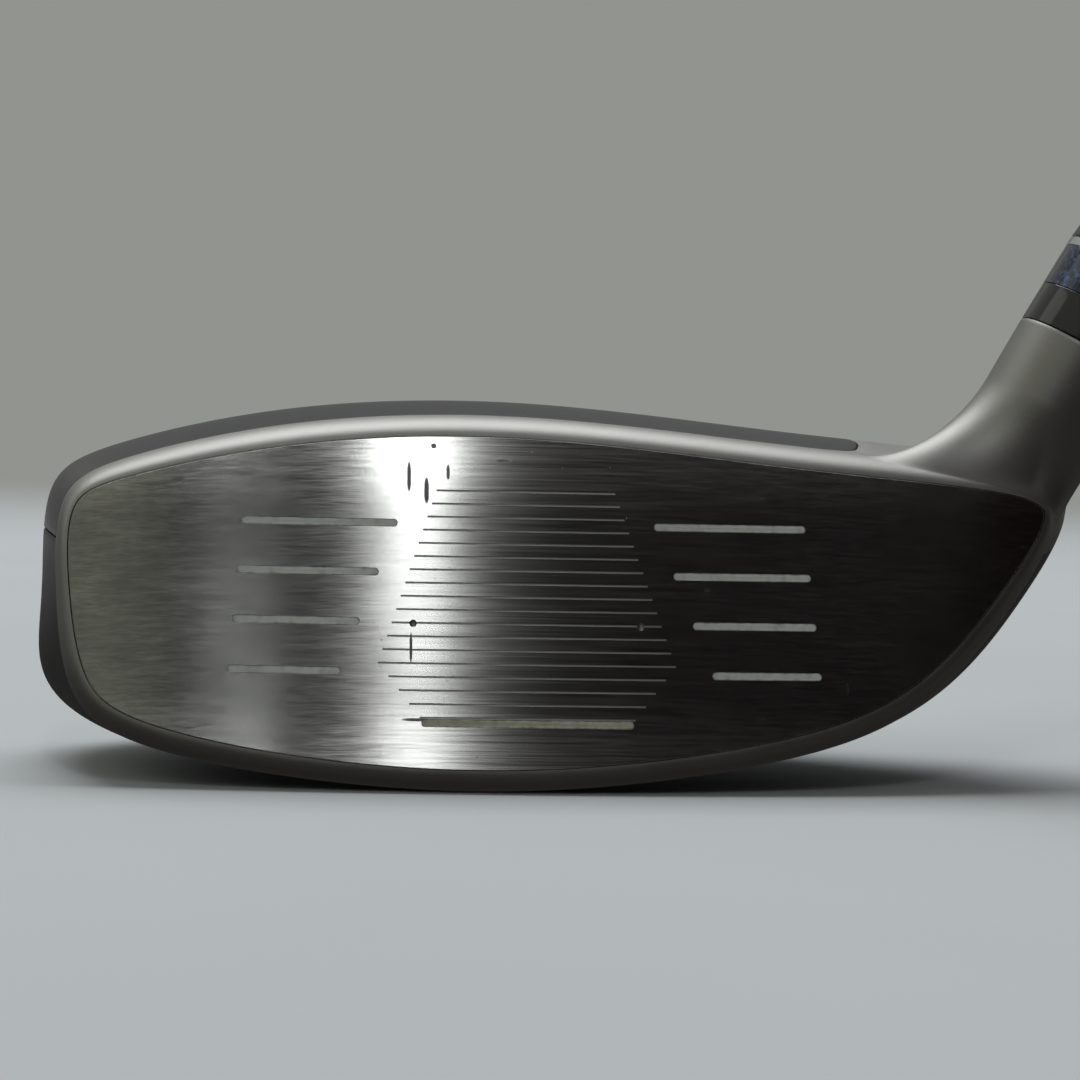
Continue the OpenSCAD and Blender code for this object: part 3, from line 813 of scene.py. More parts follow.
def body_grid(skin):
    """Grid lines of the head body, denser along the crown's seam, and the paces."""
    sizes = skin.sizes
    round_, gap = sizes.seam_round, sizes.seam
    outside = [-(gap + round_ * share) for share in SEAM_STEPS]
    step_foot = 0.00002 - gap
    (u_low, u_high, v_low, v_high), paces = skin.seam_lines(outside + [step_foot, LEDGE])
    us = grid_lines(
        u_low, np.linspace(skin.CROWN_FROM, skin.CROWN_TO, 150)[4:-4], u_high,
        np.linspace(skin.CROWN_TO, skin.CROWN_FROM + TURNS, 330)[2:-2])
    us = us[us < skin.CROWN_FROM + TURNS - RING_GAP]
    vs = grid_lines(
        np.linspace(0, 0.96, 12), v_low, np.linspace(1, skin.CORNER_V + 1, 8)[2:],
        np.linspace(1.06, 1.9, 56), v_high, np.linspace(1.94, 1.9985, 12))
    return us, vs, paces


class CLUB_OT_head_body(PieceOperator, bpy.types.Operator):
    """Makes the cast head body: front frame, skirt and sole in one piece"""

    bl_idname = "club.head_body"
    bl_label = "Head body"

    def make(self, scene):
        """A shell over the head's skin, sunk to a ledge under the crown."""
        skin = HeadSkin(scene.club.head)
        sizes = skin.sizes
        us, vs, paces = body_grid(skin)
        grid_u, grid_v = np.meshgrid(us, vs, indexing="ij")
        inside = skin.inside_crown(grid_u, grid_v, paces)
        round_, gap = sizes.seam_round, sizes.seam
        drop = edge_drop(inside + gap + round_, round_)
        depth = np.where(inside > -gap + 1e-9, sizes.recess, drop)
        lines = skin.warp(grid_u, grid_v)
        outer = skin.point(lines, grid_v, depth)
        inner = skin.point(lines, grid_v, skin.wall(lines) + np.where(inside > 0, sizes.recess, 0))
        middle_u = np.append(us[:-1] + us[1:], us[-1] + us[0] + TURNS) / 2
        middle_v = (vs[:-1] + vs[1:]) / 2
        cells = skin.inside_crown(middle_u[:, None], middle_v[None, :], paces) < LEDGE
        tail = [skin.TAIL_X, skin.depth, skin.TAIL_Z]
        poles = [tail, [skin.TAIL_X, skin.depth - skin.SOLE_WALL, skin.TAIL_Z]]
        points, faces, used = grid_shell(outer, inner, cells, poles)
        obj = new_mesh("head_body_cast", points, faces)
        turn = grid_u % TURNS
        heel = smooth(turn, 8.45, 8.95) * (1 - smooth(turn, 11.70, 11.95))
        crown_side = np.maximum(smooth(turn, 11.6, 11.7), 1 - smooth(turn, 0.3, 0.6))
        border = np.maximum(mix(0.93, 1.47, heel), mix(0.93, 1.06, crown_side))
        satin = np.tile(((border - grid_v) * 10).ravel(), 2)
        satin = np.append(satin, [-10, -10])[used]
        keep_numbers(obj.data, "satin", satin)
        finish_piece(obj, cast_steel(scene.club.finishes), ["head_body"])


class CLUB_OT_crown(PieceOperator, bpy.types.Operator):
    """Makes the painted crown"""

    bl_idname = "club.crown"
    bl_label = "Crown"

    def make(self, scene):
        """A thin shell with rounded edges, one seam away from the body."""
        skin = HeadSkin(scene.club.head)
        sizes = skin.sizes
        round_, gap = sizes.seam_round, sizes.seam
        (u_low, u_high, v_low, v_high), paces = skin.seam_lines([gap + round_ * s for s in SEAM_STEPS])
        us = grid_lines(u_low, np.linspace(skin.CROWN_FROM, skin.CROWN_TO, 190)[3:-3], u_high)
        vs = grid_lines(v_low, np.linspace(1, 1 + skin.CORNER_V, 10)[2:],
                        np.linspace(1.05, 1.92, 80), v_high)
        grid_u, grid_v = np.meshgrid(us, vs, indexing="ij")
        inside = skin.inside_crown(grid_u, grid_v, paces) - gap
        depth = edge_drop(round_ - inside, round_)
        lines = skin.warp(grid_u, grid_v)
        cells = np.ones((len(us) - 1, len(vs) - 1), bool)
        points, faces, _ = grid_shell(
            skin.point(lines, grid_v, depth), skin.point(lines, grid_v, sizes.crown_wall), cells)
        obj = new_mesh("crown_painted", points, faces)
        finish_piece(obj, crown_paint(scene.club.finishes), ["crown"])


# Rows of paired score lines, the height of the middle row as a share of the face's, and the
# half length of the single line under them.
SCORE_ROWS, SCORE_HEIGHT, SINGLE_HALF = 4, 0.445, 0.0102


def score_line(row, side, sizes):
    """Middle x, z and half length of a score line. The last row is one centred line."""
    drop = sizes.face.score_pitch * math.cos(sizes.head.loft)
    z = SCORE_HEIGHT * sizes.head.face_height + (SCORE_ROWS / 2 - row) * drop
    if row == SCORE_ROWS:
        return 0.0, z, SINGLE_HALF
    inner, outer = 0.0125 + 0.0018 * row, 0.0276 + 0.00037 * row
    return side * (inner + outer) / 2, z, (outer - inner) / 2


def score_lines(sizes):
    """All the score lines."""
    pairs = [score_line(row, side, sizes) for row in range(SCORE_ROWS) for side in (-1, 1)]
    return pairs + [score_line(SCORE_ROWS, 1, sizes)]


class Pattern(Nodes):
    """A Geometry Nodes tree with named inputs."""

    def __init__(self, name, inputs):
        tree = bpy.data.node_groups.new(name, "GeometryNodeTree")
        super().__init__(tree)
        tree.interface.new_socket("Geometry", in_out="INPUT", socket_type="NodeSocketGeometry")
        for key, value in inputs.items():
            kind = "NodeSocketInt" if isinstance(value, int) else "NodeSocketFloat"
            tree.interface.new_socket(key, in_out="INPUT", socket_type=kind).default_value = value
        tree.interface.new_socket("Material", in_out="INPUT", socket_type="NodeSocketMaterial")
        tree.interface.new_socket("Geometry", in_out="OUTPUT", socket_type="NodeSocketGeometry")
        self.values = inputs
        self.inlet = self.add("NodeGroupInput")
        self.outlet = self.add("NodeGroupOutput")

    def input(self, name):
        """A named input."""
        return Number(self, self.inlet.outputs[name])

    def index(self):
        """The number of each point."""
        return self.out(self.add("GeometryNodeInputIndex"))

    def place(self):
        """x, y and z of each point."""
        position = self.add("GeometryNodeInputPosition")
        split = self.add("ShaderNodeSeparateXYZ", inputs={0: position.outputs[0]})
        return [self.out(split, k) for k in range(3)]

    def vector(self, x, y, z):
        """A vector from its parts."""
        return self.add("ShaderNodeCombineXYZ", inputs={0: x, 1: y, 2: z}).outputs[0]

    def move(self, geometry, x, y, z):
        """Puts each point at a new place."""
        return self.add("GeometryNodeSetPosition", inputs={
            "Geometry": geometry, "Position": self.vector(x, y, z)}).outputs[0]

    def keep(self, geometry, name, value):
        """Stores a number on each point."""
        return self.add("GeometryNodeStoreNamedAttribute", {"data_type": "FLOAT"}, {
            "Geometry": geometry, "Name": name, "Value": value}).outputs[0]

    def kept(self, name):
        """A stored number."""
        return self.out(self.add("GeometryNodeInputNamedAttribute", {"data_type": "FLOAT"}, {"Name": name}))

    def instances(self, points, shape, scale=(1, 1, 1), turn=(0, 0, 0)):
        """Real copies of a shape on points."""
        node = self.add("GeometryNodeInstanceOnPoints", inputs={
            "Points": points, "Instance": shape, "Scale": scale, "Rotation": turn})
        return self.add("GeometryNodeRealizeInstances", inputs={0: node.outputs[0]}).outputs[0]

    def finish(self, geometry):
        """Ends the tree."""
        real = self.add("GeometryNodeRealizeInstances", inputs={0: geometry})
        coloured = self.add("GeometryNodeSetMaterial", inputs={
            "Geometry": real.outputs[0], "Material": self.inlet.outputs["Material"]})
        self.plug(self.outlet.inputs[0], coloured.outputs[0])

    def run(self, obj, material):
        """Runs the tree on an object and leaves a plain mesh."""
        modifier = obj.modifiers.new("Pattern", "NODES")
        modifier.node_group = self.tree
        for socket in self.tree.interface.items_tree:
            if socket.item_type == "SOCKET" and socket.in_out == "INPUT" and socket.name in self.values:
                modifier[socket.identifier] = self.values[socket.name]
            if socket.item_type == "SOCKET" and socket.socket_type == "NodeSocketMaterial":
                modifier[socket.identifier] = material
        evaluated = obj.evaluated_get(bpy.context.evaluated_depsgraph_get())
        mesh = bpy.data.meshes.new_from_object(evaluated)
        obj.modifiers.remove(modifier)
        old, obj.data = obj.data, mesh
        bpy.data.meshes.remove(old)
        mesh.name = obj.name


def face_blank(skin):
    """The uncut face plate, ring by ring from the back's middle to the front's."""
    centre = np.array([0.001, 0.017])
    middle_wall, rim_wall, seam, chamfer = 0.0024, 0.0018, 0.00005, 0.00012
    us = np.linspace(0, TURNS, 320, endpoint=False)
    edge, inward = skin.outline(us), skin.inward(us)
    rim = edge[:, :2] + inward * (edge[:, 2:] + seam)

    def ring(share, depth):
        """One ring of the plate, at a depth behind the face."""
        x = mix(centre[0], rim[:, 0], share)
        z = mix(centre[1], rim[:, 1], share)
        return np.stack([x, skin.face_y(x, z) + depth, z], -1)

    shares = np.append(np.linspace(0.04, 0.96, 24), [0.985, 0.996])
    front = [ring(share, 0) for share in shares[::-1]]
    edge_rings = [ring(1, rim_wall), ring(1, chamfer), ring(0.9985, chamfer / 4)]
    back = [ring(share, mix(middle_wall, rim_wall, share ** 2)) for share in (0.1, 0.5, 0.9)]
    return loft(back + edge_rings + front)


def machining(skin, sizes):
    """The tree that cuts the milled lines, score lines and two pits into the face."""
    face = sizes.face
    tree = Pattern("Face machining", {
        "Milled lines": int(face.milled_count), "Milled top": face.milled_top,
        "Milled pitch": face.milled_pitch, "Milled width": face.milled_width,
        "Milled depth": face.milled_depth, "Milled half length": 0.00875,
        "Score width": face.score_width, "Score depth": face.score_depth,
        "Pit radius": 0.00036, "Pit side": 0.011, "Pit height": 0.0159,
    })
    bar = tree.add("GeometryNodeMeshCube", inputs={
        "Size": (2, 2, 1), "Vertices X": 48, "Vertices Y": 2, "Vertices Z": 2}).outputs[0]
    x, y, z = tree.place()
    bar = tree.move(bar, x, y, z * (1 - y * 0.7))
    index = tree.index()
    points = tree.add("GeometryNodePoints", inputs={
        "Count": tree.input("Milled lines"),
        "Position": tree.vector(0.0, 0.0, tree.input("Milled top") - index * tree.input("Milled pitch")),
    }).outputs[0]
    longest = 13.0  # number of the line after which they get shorter again
    grown = tree.math("MINIMUM", index, longest) * 0.00043
    shrunk = tree.math("MAXIMUM", index - longest, 0.0) * 0.001
    half = tree.input("Milled half length") + grown - shrunk
    size = tree.vector(half, tree.input("Milled depth"), tree.input("Milled width"))
    lines = tree.instances(points, bar, size)
    x, y, z = tree.place()
    lines = tree.move(lines, x, y + skin.face_y(x, z), z)

    width = tree.input("Score width")
    slot = tree.add("GeometryNodeMeshCylinder", {"fill_type": "TRIANGLE_FAN"}, {
        "Vertices": 32, "Radius": width / 2, "Depth": tree.input("Score depth") * 2})
    slot = tree.add("GeometryNodeTransform", inputs={
        "Geometry": slot.outputs[0], "Rotation": (math.pi / 2, 0, 0)}).outputs[0]
    scores = []
    for middle, height, reach in score_lines(sizes):
        cutter = tree.add("GeometryNodeTransform", inputs={"Geometry": slot, "Translation": (0, 0, height)})
        x, y, z = tree.place()
        long_x = tree.math("SIGN", x) * (reach - width / 2) + x + middle
        scores.append(tree.move(cutter.outputs[0], long_x, y + skin.face_y(long_x, z), z))
    ball = tree.add("GeometryNodeMeshIcoSphere", inputs={
        "Radius": tree.input("Pit radius"), "Subdivisions": 3}).outputs[0]
    side = (tree.index() * 2 - 1) * tree.input("Pit side")
    points = tree.add("GeometryNodePoints", inputs={
        "Count": 2, "Position": tree.vector(side, 0.0, tree.input("Pit height"))}).outputs[0]
    pits = tree.instances(points, ball)
    x, y, z = tree.place()
    pits = tree.move(pits, x, y + skin.face_y(x, z), z)

    blank = tree.inlet.outputs["Geometry"]
    for cutters in ([lines], scores, [pits]):
        boolean = tree.add("GeometryNodeMeshBoolean", {"operation": "DIFFERENCE", "solver": "EXACT"},
                           {"Mesh 1": blank})
        for cutter in cutters:
            tree.tree.links.new(cutter, boolean.inputs["Mesh 2"])
        blank = boolean.outputs["Mesh"]
    tree.finish(blank)
    return tree


# Cosine of the angle to the face's curve within which a corner is part of the open face.
OPEN_FACE = 0.992


def polish(mesh, skin):
    """Gives the open face the normals of its curve, and each cut wall its own."""
    count = len(mesh.loops)
    vertex_of = np.zeros(count, int)
    mesh.loops.foreach_get("vertex_index", vertex_of)
    points = np.zeros(len(mesh.vertices) * 3)
    mesh.vertices.foreach_get("co", points)
    points = points.reshape(-1, 3)[vertex_of]
    flat = np.zeros(len(mesh.polygons) * 3)
    mesh.polygons.foreach_get("normal", flat)
    sizes = np.zeros(len(mesh.polygons), int)
    mesh.polygons.foreach_get("loop_total", sizes)
    flat = np.repeat(flat.reshape(-1, 3), sizes, axis=0)
    curved = skin.face_normal(points[:, 0], points[:, 2])
    open_face = (flat * curved).sum(-1) > OPEN_FACE
    mesh.normals_split_custom_set(np.where(open_face[:, None], curved, flat).tolist())


class CLUB_OT_face_plate(PieceOperator, bpy.types.Operator):
    """Makes the brushed face plate and cuts its lines"""

    bl_idname = "club.face_plate"
    bl_label = "Face plate"

    def make(self, scene):
        """A blank, cut by the tree."""
        skin = HeadSkin(scene.club.head)
        obj = new_mesh("face_plate_brushed", *face_blank(skin))
        material = brushed_face(scene.club.finishes, scene.club.head)
        machining(skin, scene.club).run(obj, material)
        obj.data.shade_smooth()
        polish(obj.data, skin)
        # The brushing runs along x where the middle of the texture space is far away in y.
        obj.data.use_auto_texspace = False
        obj.data.texspace_location = (0, 1000, 0)
        obj.data.texspace_size = (1, 1, 1)
        finish_piece(obj, material, ["face_plate"])


class CLUB_OT_line_paint(PieceOperator, bpy.types.Operator):
    """Makes the paint in the score lines"""

    bl_idname = "club.line_paint"
    bl_label = "Score line paint"

    ARC, SPAN = 10, 8

    def strip(self, skin, middle, height, half, face):
        """Rings of one strip of paint, sunk a little in its middle."""
        radius = face.score_width / 2 - 0.00002
        reach = half - face.score_width / 2
        arc = np.linspace(-np.pi / 2, np.pi / 2, self.ARC + 1)
        span = np.linspace(-1, 1, self.SPAN + 1)[1:-1]
        side_x = np.concatenate([reach + 0 * arc, -span * reach, -reach + 0 * arc, span * reach])
        cap_x = np.concatenate([np.cos(arc), 0 * span, -np.cos(arc), 0 * span])
        cap_z = np.concatenate([np.sin(arc), 1 + 0 * span, -np.sin(arc), -1 + 0 * span])
        rings, rims = [], []
        floor, drop = face.score_depth - 0.00002, face.paint_drop
        for share, depth in ((0.5, floor), (1, floor), (1, drop * 0.6), (0.86, drop),
                             (0.6, drop * 1.25), (0.3, drop * 1.35)):
            x = middle + side_x + cap_x * radius * share
            z = height + cap_z * radius * share
            rings.append(np.stack([x, skin.face_y(x, z) + depth, z], -1))
            rims += [share] * len(x)
        return loft(rings), rims + [0, 0]

    def make(self, scene):
        """One strip for each line."""
        skin = HeadSkin(scene.club.head)
        strips = [self.strip(skin, *line, scene.club.face) for line in score_lines(scene.club)]
        obj = new_mesh("score_line_paint_white", *joined(*(shape for shape, rim in strips)))
        keep_numbers(obj.data, "rim", np.concatenate([rim for shape, rim in strips]))
        finish_piece(obj, line_paint(scene.club.finishes), ["score_line_paint"])


class CLUB_OT_hosel(PieceOperator, bpy.types.Operator):
    """Makes the hosel: neck, collar and the tube inside the head"""

    bl_idname = "club.hosel"
    bl_label = "Hosel"

    SIDES, RINGS, COLLAR, CHAMFER = 128, 44, 0.008, 0.00025
    BARREL_WALL, FLOOR, FLOOR_HOLE = 0.00075, 0.003, 0.003

    def make(self, scene):
        """A loft from the head's skin to the collar, with a bore in its top."""
        skin = HeadSkin(scene.club.head)
        top, radius = ends("ferrule_base")[0], ends("ferrule_base")[2]
        bore = ends("shaft_adhesive")[2]
        tip = ends("shaft")[0]
        angle = np.linspace(0, 2 * np.pi, self.SIDES, endpoint=False)
        neck_top = top - self.COLLAR + 0.001
        rings = [skin.neck_foot(angle, share, 0.0002) for share in (0.5, 0.8, 0.99)]
        rings += [skin.neck(angle, share, neck_top, radius - 0.00002)
                  for share in np.linspace(0, 1, self.RINGS + 1)]
        collar = [(neck_top + 0.0015, radius), (top - self.CHAMFER * 2, radius),
                  (top - self.CHAMFER, radius), (top - self.CHAMFER * 0.3, radius - self.CHAMFER * 0.3),
                  (top, radius - self.CHAMFER), (top, bore + self.CHAMFER), (top - self.CHAMFER, bore),
                  (tip + 0.012, bore)]
        rings += [on_shaft(r * np.cos(angle), r * np.sin(angle), 0 * angle + s) for s, r in collar]
        foot, hole = tip - self.FLOOR, self.FLOOR_HOLE
        outside, inside_neck = bore + self.BARREL_WALL, tip + 0.02
        tube = [(foot, hole), (foot, outside), (inside_neck, outside), (inside_neck, bore),
                (tip, bore), (tip, hole)]
        obj = new_mesh("hosel_satin", *joined(loft(rings), turned(rounded(tube, 0.0002))))
        finish_piece(obj, satin_steel(scene.club.finishes), ["hosel"])


class CLUB_OT_ferrule(PieceOperator, bpy.types.Operator):
    """Makes the four rings of the ferrule"""

    bl_idname = "club.ferrule"
    bl_label = "Ferrule"

    def make(self, scene):
        """Each ring is turned from its node's ends."""
        colours = scene.club.finishes
        hole = ends("shaft")[2] + 0.00003
        black = moulded("ferrule_black", colours.ferrule, 0.14, coat=0.5)
        blue = flaked("ferrule_blue", colours.band)
        trim = machined("ferrule_trim", (0.72, 0.73, 0.74), 0.22)
        rings = (
            ("ferrule_base", black, "ferrule_black", 0.00012),
            ("ferrule_blue_band", blue, "ferrule_blue", 0.00008),
            ("ferrule_trim_ring", trim, "ferrule_trim", 0.00012),
            ("ferrule_taper", black, "ferrule_black", 0.00025),
        )
        for node, material, slot, edge in rings:
            low, high, foot, top = ends(node)
            profile = rounded([(low, hole), (low, foot), (high, top), (high, hole)], edge)
            finish_piece(new_mesh(node + "_turned", *turned(profile, 128)), material, [node])


class CLUB_OT_shaft(PieceOperator, bpy.types.Operator):
    """Makes the tapered graphite shaft"""

    bl_idname = "club.shaft"
    bl_label = "Shaft"

    TIP_LENGTH, TIP_WALL, BUTT_WALL = 0.08, 0.0022, 0.001

    def make(self, scene):
        """A tube with a parallel tip."""
        low, high, tip, butt = ends("shaft")
        taper, bore = low + self.TIP_LENGTH, tip - self.TIP_WALL
        profile = rounded([(low, tip), (taper, tip), (high, butt), (high, butt - self.BUTT_WALL),
                           (taper, bore), (low, bore)], 0.0003)
        obj = new_mesh("shaft_graphite", *turned(profile, 128))
        finish_piece(obj, graphite(), ["shaft"])


class CLUB_OT_grip(PieceOperator, bpy.types.Operator):
    """Makes the grip with its pips, and the cap"""

    bl_idname = "club.grip"
    bl_label = "Grip and cap"

    AROUND, ROWS, PITCH, START = 24, 66, 0.0034, 0.016

    def make(self, scene):
        """A turned sleeve, pips from a tree, and a turned cap."""
        low, high, mouth, top = ends("grip_sleeve")
        over_tape = ends("grip_tape")
        slope = (over_tape[3] - over_tape[2]) / (over_tape[1] - over_tape[0])
        inner_low = over_tape[2] + (low - over_tape[0]) * slope + 0.00002
        inner_high = over_tape[3] + 0.00002
        hand = low + 0.207
        outside = [(low, mouth), (low + 0.0012, mouth + 0.00065), (hand, 0.0115),
                   (high - 0.012, top - 0.0004), (high, top)]
        profile = rounded(outside + [(high, inner_high), (low, inner_low)], 0.0006)
        sleeve = turned(profile, 128)
        material = rubber("grip_rubber", scene.club.finishes.rubber)
        obj = new_mesh("grip_sleeve_rubber", *sleeve)
        self.pips(low, outside).run(obj, material)
        obj.data.set_sharp_from_angle(angle=math.radians(40))
        finish_piece(obj, material, ["grip_sleeve"])
        start, end, foot, _ = ends("grip_cap")
        vent = VENT["dims"]["r_mm"] * MM
        cap = [(start, vent), (start, foot), (start + 0.0016, foot + 0.0003),
               (start + 0.0036, foot - 0.0006), (end - 0.0003, foot * 0.6), (end, vent)]
        obj = new_mesh("grip_cap_rubber", *turned(rounded(cap, 0.0007, 5), 128))
        material = rubber("cap_rubber", shade(scene.club.finishes.rubber, 0.8))
        finish_piece(obj, material, ["grip_cap"])

    def pips(self, low, outside):
        """The tree that sets low pips in staggered rows around the grip."""
        tree = Pattern("Grip pips", {
            "Around": self.AROUND, "Rows": self.ROWS, "Pitch": self.PITCH, "Start": self.START,
            "Pip radius": 0.0008, "Pip height": 0.00022})
        around = tree.input("Around")
        index = tree.index()
        row = tree.math("FLOOR", index / around)
        angle = (index - row * around + tree.math("MODULO", row, 2.0) * 0.5) / around * (2 * math.pi)
        height = row * tree.input("Pitch") + tree.input("Start")
        radius = 0.0
        for (s0, r0), (s1, r1) in zip(outside[1:], outside[2:]):
            share = tree.add("ShaderNodeMapRange", inputs={
                "Value": height, "From Min": s0 - low, "From Max": s1 - low,
                "To Min": 0.0, "To Max": r1 - r0})
            radius = tree.out(share) + radius
        radius = radius + outside[1][1]
        points = tree.add("GeometryNodePoints", inputs={"Count": around * tree.input("Rows")}).outputs[0]
        points = tree.keep(points, "turn", angle)
        x, y = tree.math("COSINE", angle) * radius, tree.math("SINE", angle) * radius
        points = tree.move(points, x, y, height)
        dome = tree.add("GeometryNodeMeshUVSphere", inputs={
            "Segments": 6, "Rings": 4, "Radius": 1.0}).outputs[0]
        flat, wide = tree.input("Pip height"), tree.input("Pip radius")
        pips = tree.instances(points, dome, tree.vector(flat, wide, wide * 1.25),
                              tree.vector(0.0, 0.0, tree.kept("turn")))
        x, y, z = tree.place()
        z = z + low
        placed = [x * float(ACROSS[k]) + y * float(BESIDE[k]) + z * float(WAY[k]) + float(GROUND[k])
                  for k in range(3)]
        pips = tree.move(pips, *placed)
        both = tree.add("GeometryNodeJoinGeometry")
        tree.tree.links.new(pips, both.inputs[0])
        tree.tree.links.new(tree.inlet.outputs["Geometry"], both.inputs[0])
        tree.finish(both.outputs[0])
        return tree


class CLUB_OT_weight(PieceOperator, bpy.types.Operator):
    """Makes the weight port in the sole and its screw"""

    bl_idname = "club.weight"
    bl_label = "Sole weight port"

    PORT_U, PORT_V = 5.0, 1.66

    def make(self, scene):
        """Both are turned around the port's axis, and the screw has a hexagon socket."""
        skin = HeadSkin(scene.club.head)
        middle = skin.point(self.PORT_U, self.PORT_V)
        along = skin.point(self.PORT_U + 0.01, self.PORT_V) - middle
        back = skin.point(self.PORT_U, self.PORT_V + 0.01) - middle
        inward = np.cross(along, back)
        inward = inward / np.linalg.norm(inward)
        side = along / np.linalg.norm(along)
        other = np.cross(inward, side)

        def place(x, y, height):
            """Puts points around the port, with their height into the head."""
            return (middle + np.multiply.outer(x, side) + np.multiply.outer(y, other)
                    + np.multiply.outer(height, inward))

        angle = np.linspace(0, 2 * np.pi, 96, endpoint=False)

        def ring(height, radius, flats=0.0):
            """A ring that is part circle and part hexagon."""
            bend = np.cos((angle + np.pi / 6) % (np.pi / 3) - np.pi / 6)
            reach = radius * mix(1, math.cos(math.pi / 6) / bend, flats)
            return place(reach * np.cos(angle), reach * np.sin(angle), 0 * angle + height)

        # Depth and radius in millimetres, and for the screw 1 where the ring is a hexagon.
        colours = scene.club.finishes
        port = [(8.0, 2.52), (4.0, 2.52), (4.0, 5.2), (0.15, 5.2), (0, 5.35), (0, 6.8), (0.15, 7),
                (1.2, 7), (1.2, 6), (9, 6)]
        obj = new_mesh("weight_port_turned", *loft([ring(h * MM, r * MM) for h, r in port]))
        material = machined("port_steel", shade(colours.steel, 0.7), 0.32)
        finish_piece(obj, material, ["weight_port"])
        head = [(2.4, 2.0, 1), (0.75, 2.0, 1), (0.45, 2.25, 1), (0.4, 2.5, 0), (0.4, 4.6, 0), (0.55, 4.85, 0),
                (0.8, 5, 0), (3.3, 5, 0), (3.4, 4.9, 0), (3.4, 2.5, 0), (7.8, 2.5, 0), (8.0, 2.3, 0)]
        obj = new_mesh("weight_screw_turned", *loft([ring(h * MM, r * MM, f) for h, r, f in head]))
        material = machined("screw_steel", (0.34, 0.35, 0.37), 0.28)
        finish_piece(obj, material, ["weight_screw"])


class CLUB_OT_inner(PieceOperator, bpy.types.Operator):
    """Gives the hidden pieces that keep their own mesh their finishes"""

    bl_idname = "club.inner"
    bl_label = "Inner pieces"

    def make(self, scene):
        """One finish for each material slot."""
        epoxy = filling("epoxy_amber", (0.55, 0.42, 0.16), (0.38, 0.27, 0.09), 700, 0.35)
        finishes = {
            "crown_adhesive": epoxy,
            "shaft_adhesive": epoxy,
            "sole_weight": filling("cast_weight", (0.30, 0.31, 0.33), (0.18, 0.18, 0.20), 900, 0.45, 1.0),
            "glue_pad": filling("hot_melt", (0.72, 0.64, 0.45), (0.60, 0.50, 0.32), 300, 0.4),
            "weight_washer": filling("washer_rubber", (0.03, 0.03, 0.032), (0.015, 0.015, 0.016), 2500, 0.8),
            "hosel_plug": filling("cork", (0.42, 0.26, 0.13), (0.16, 0.08, 0.035), 1200, 0.9),
            "tip_weight": filling("brass", (0.66, 0.48, 0.20), (0.50, 0.34, 0.12), 800, 0.3, 1.0),
            "grip_tape": filling("tape_fibre", (0.74, 0.70, 0.58), (0.58, 0.53, 0.42), 2200, 0.85),
        }
        for node, material in finishes.items():
            obj = frame["nodes"][node]
            for slot in obj.material_slots:
                slot.material = material


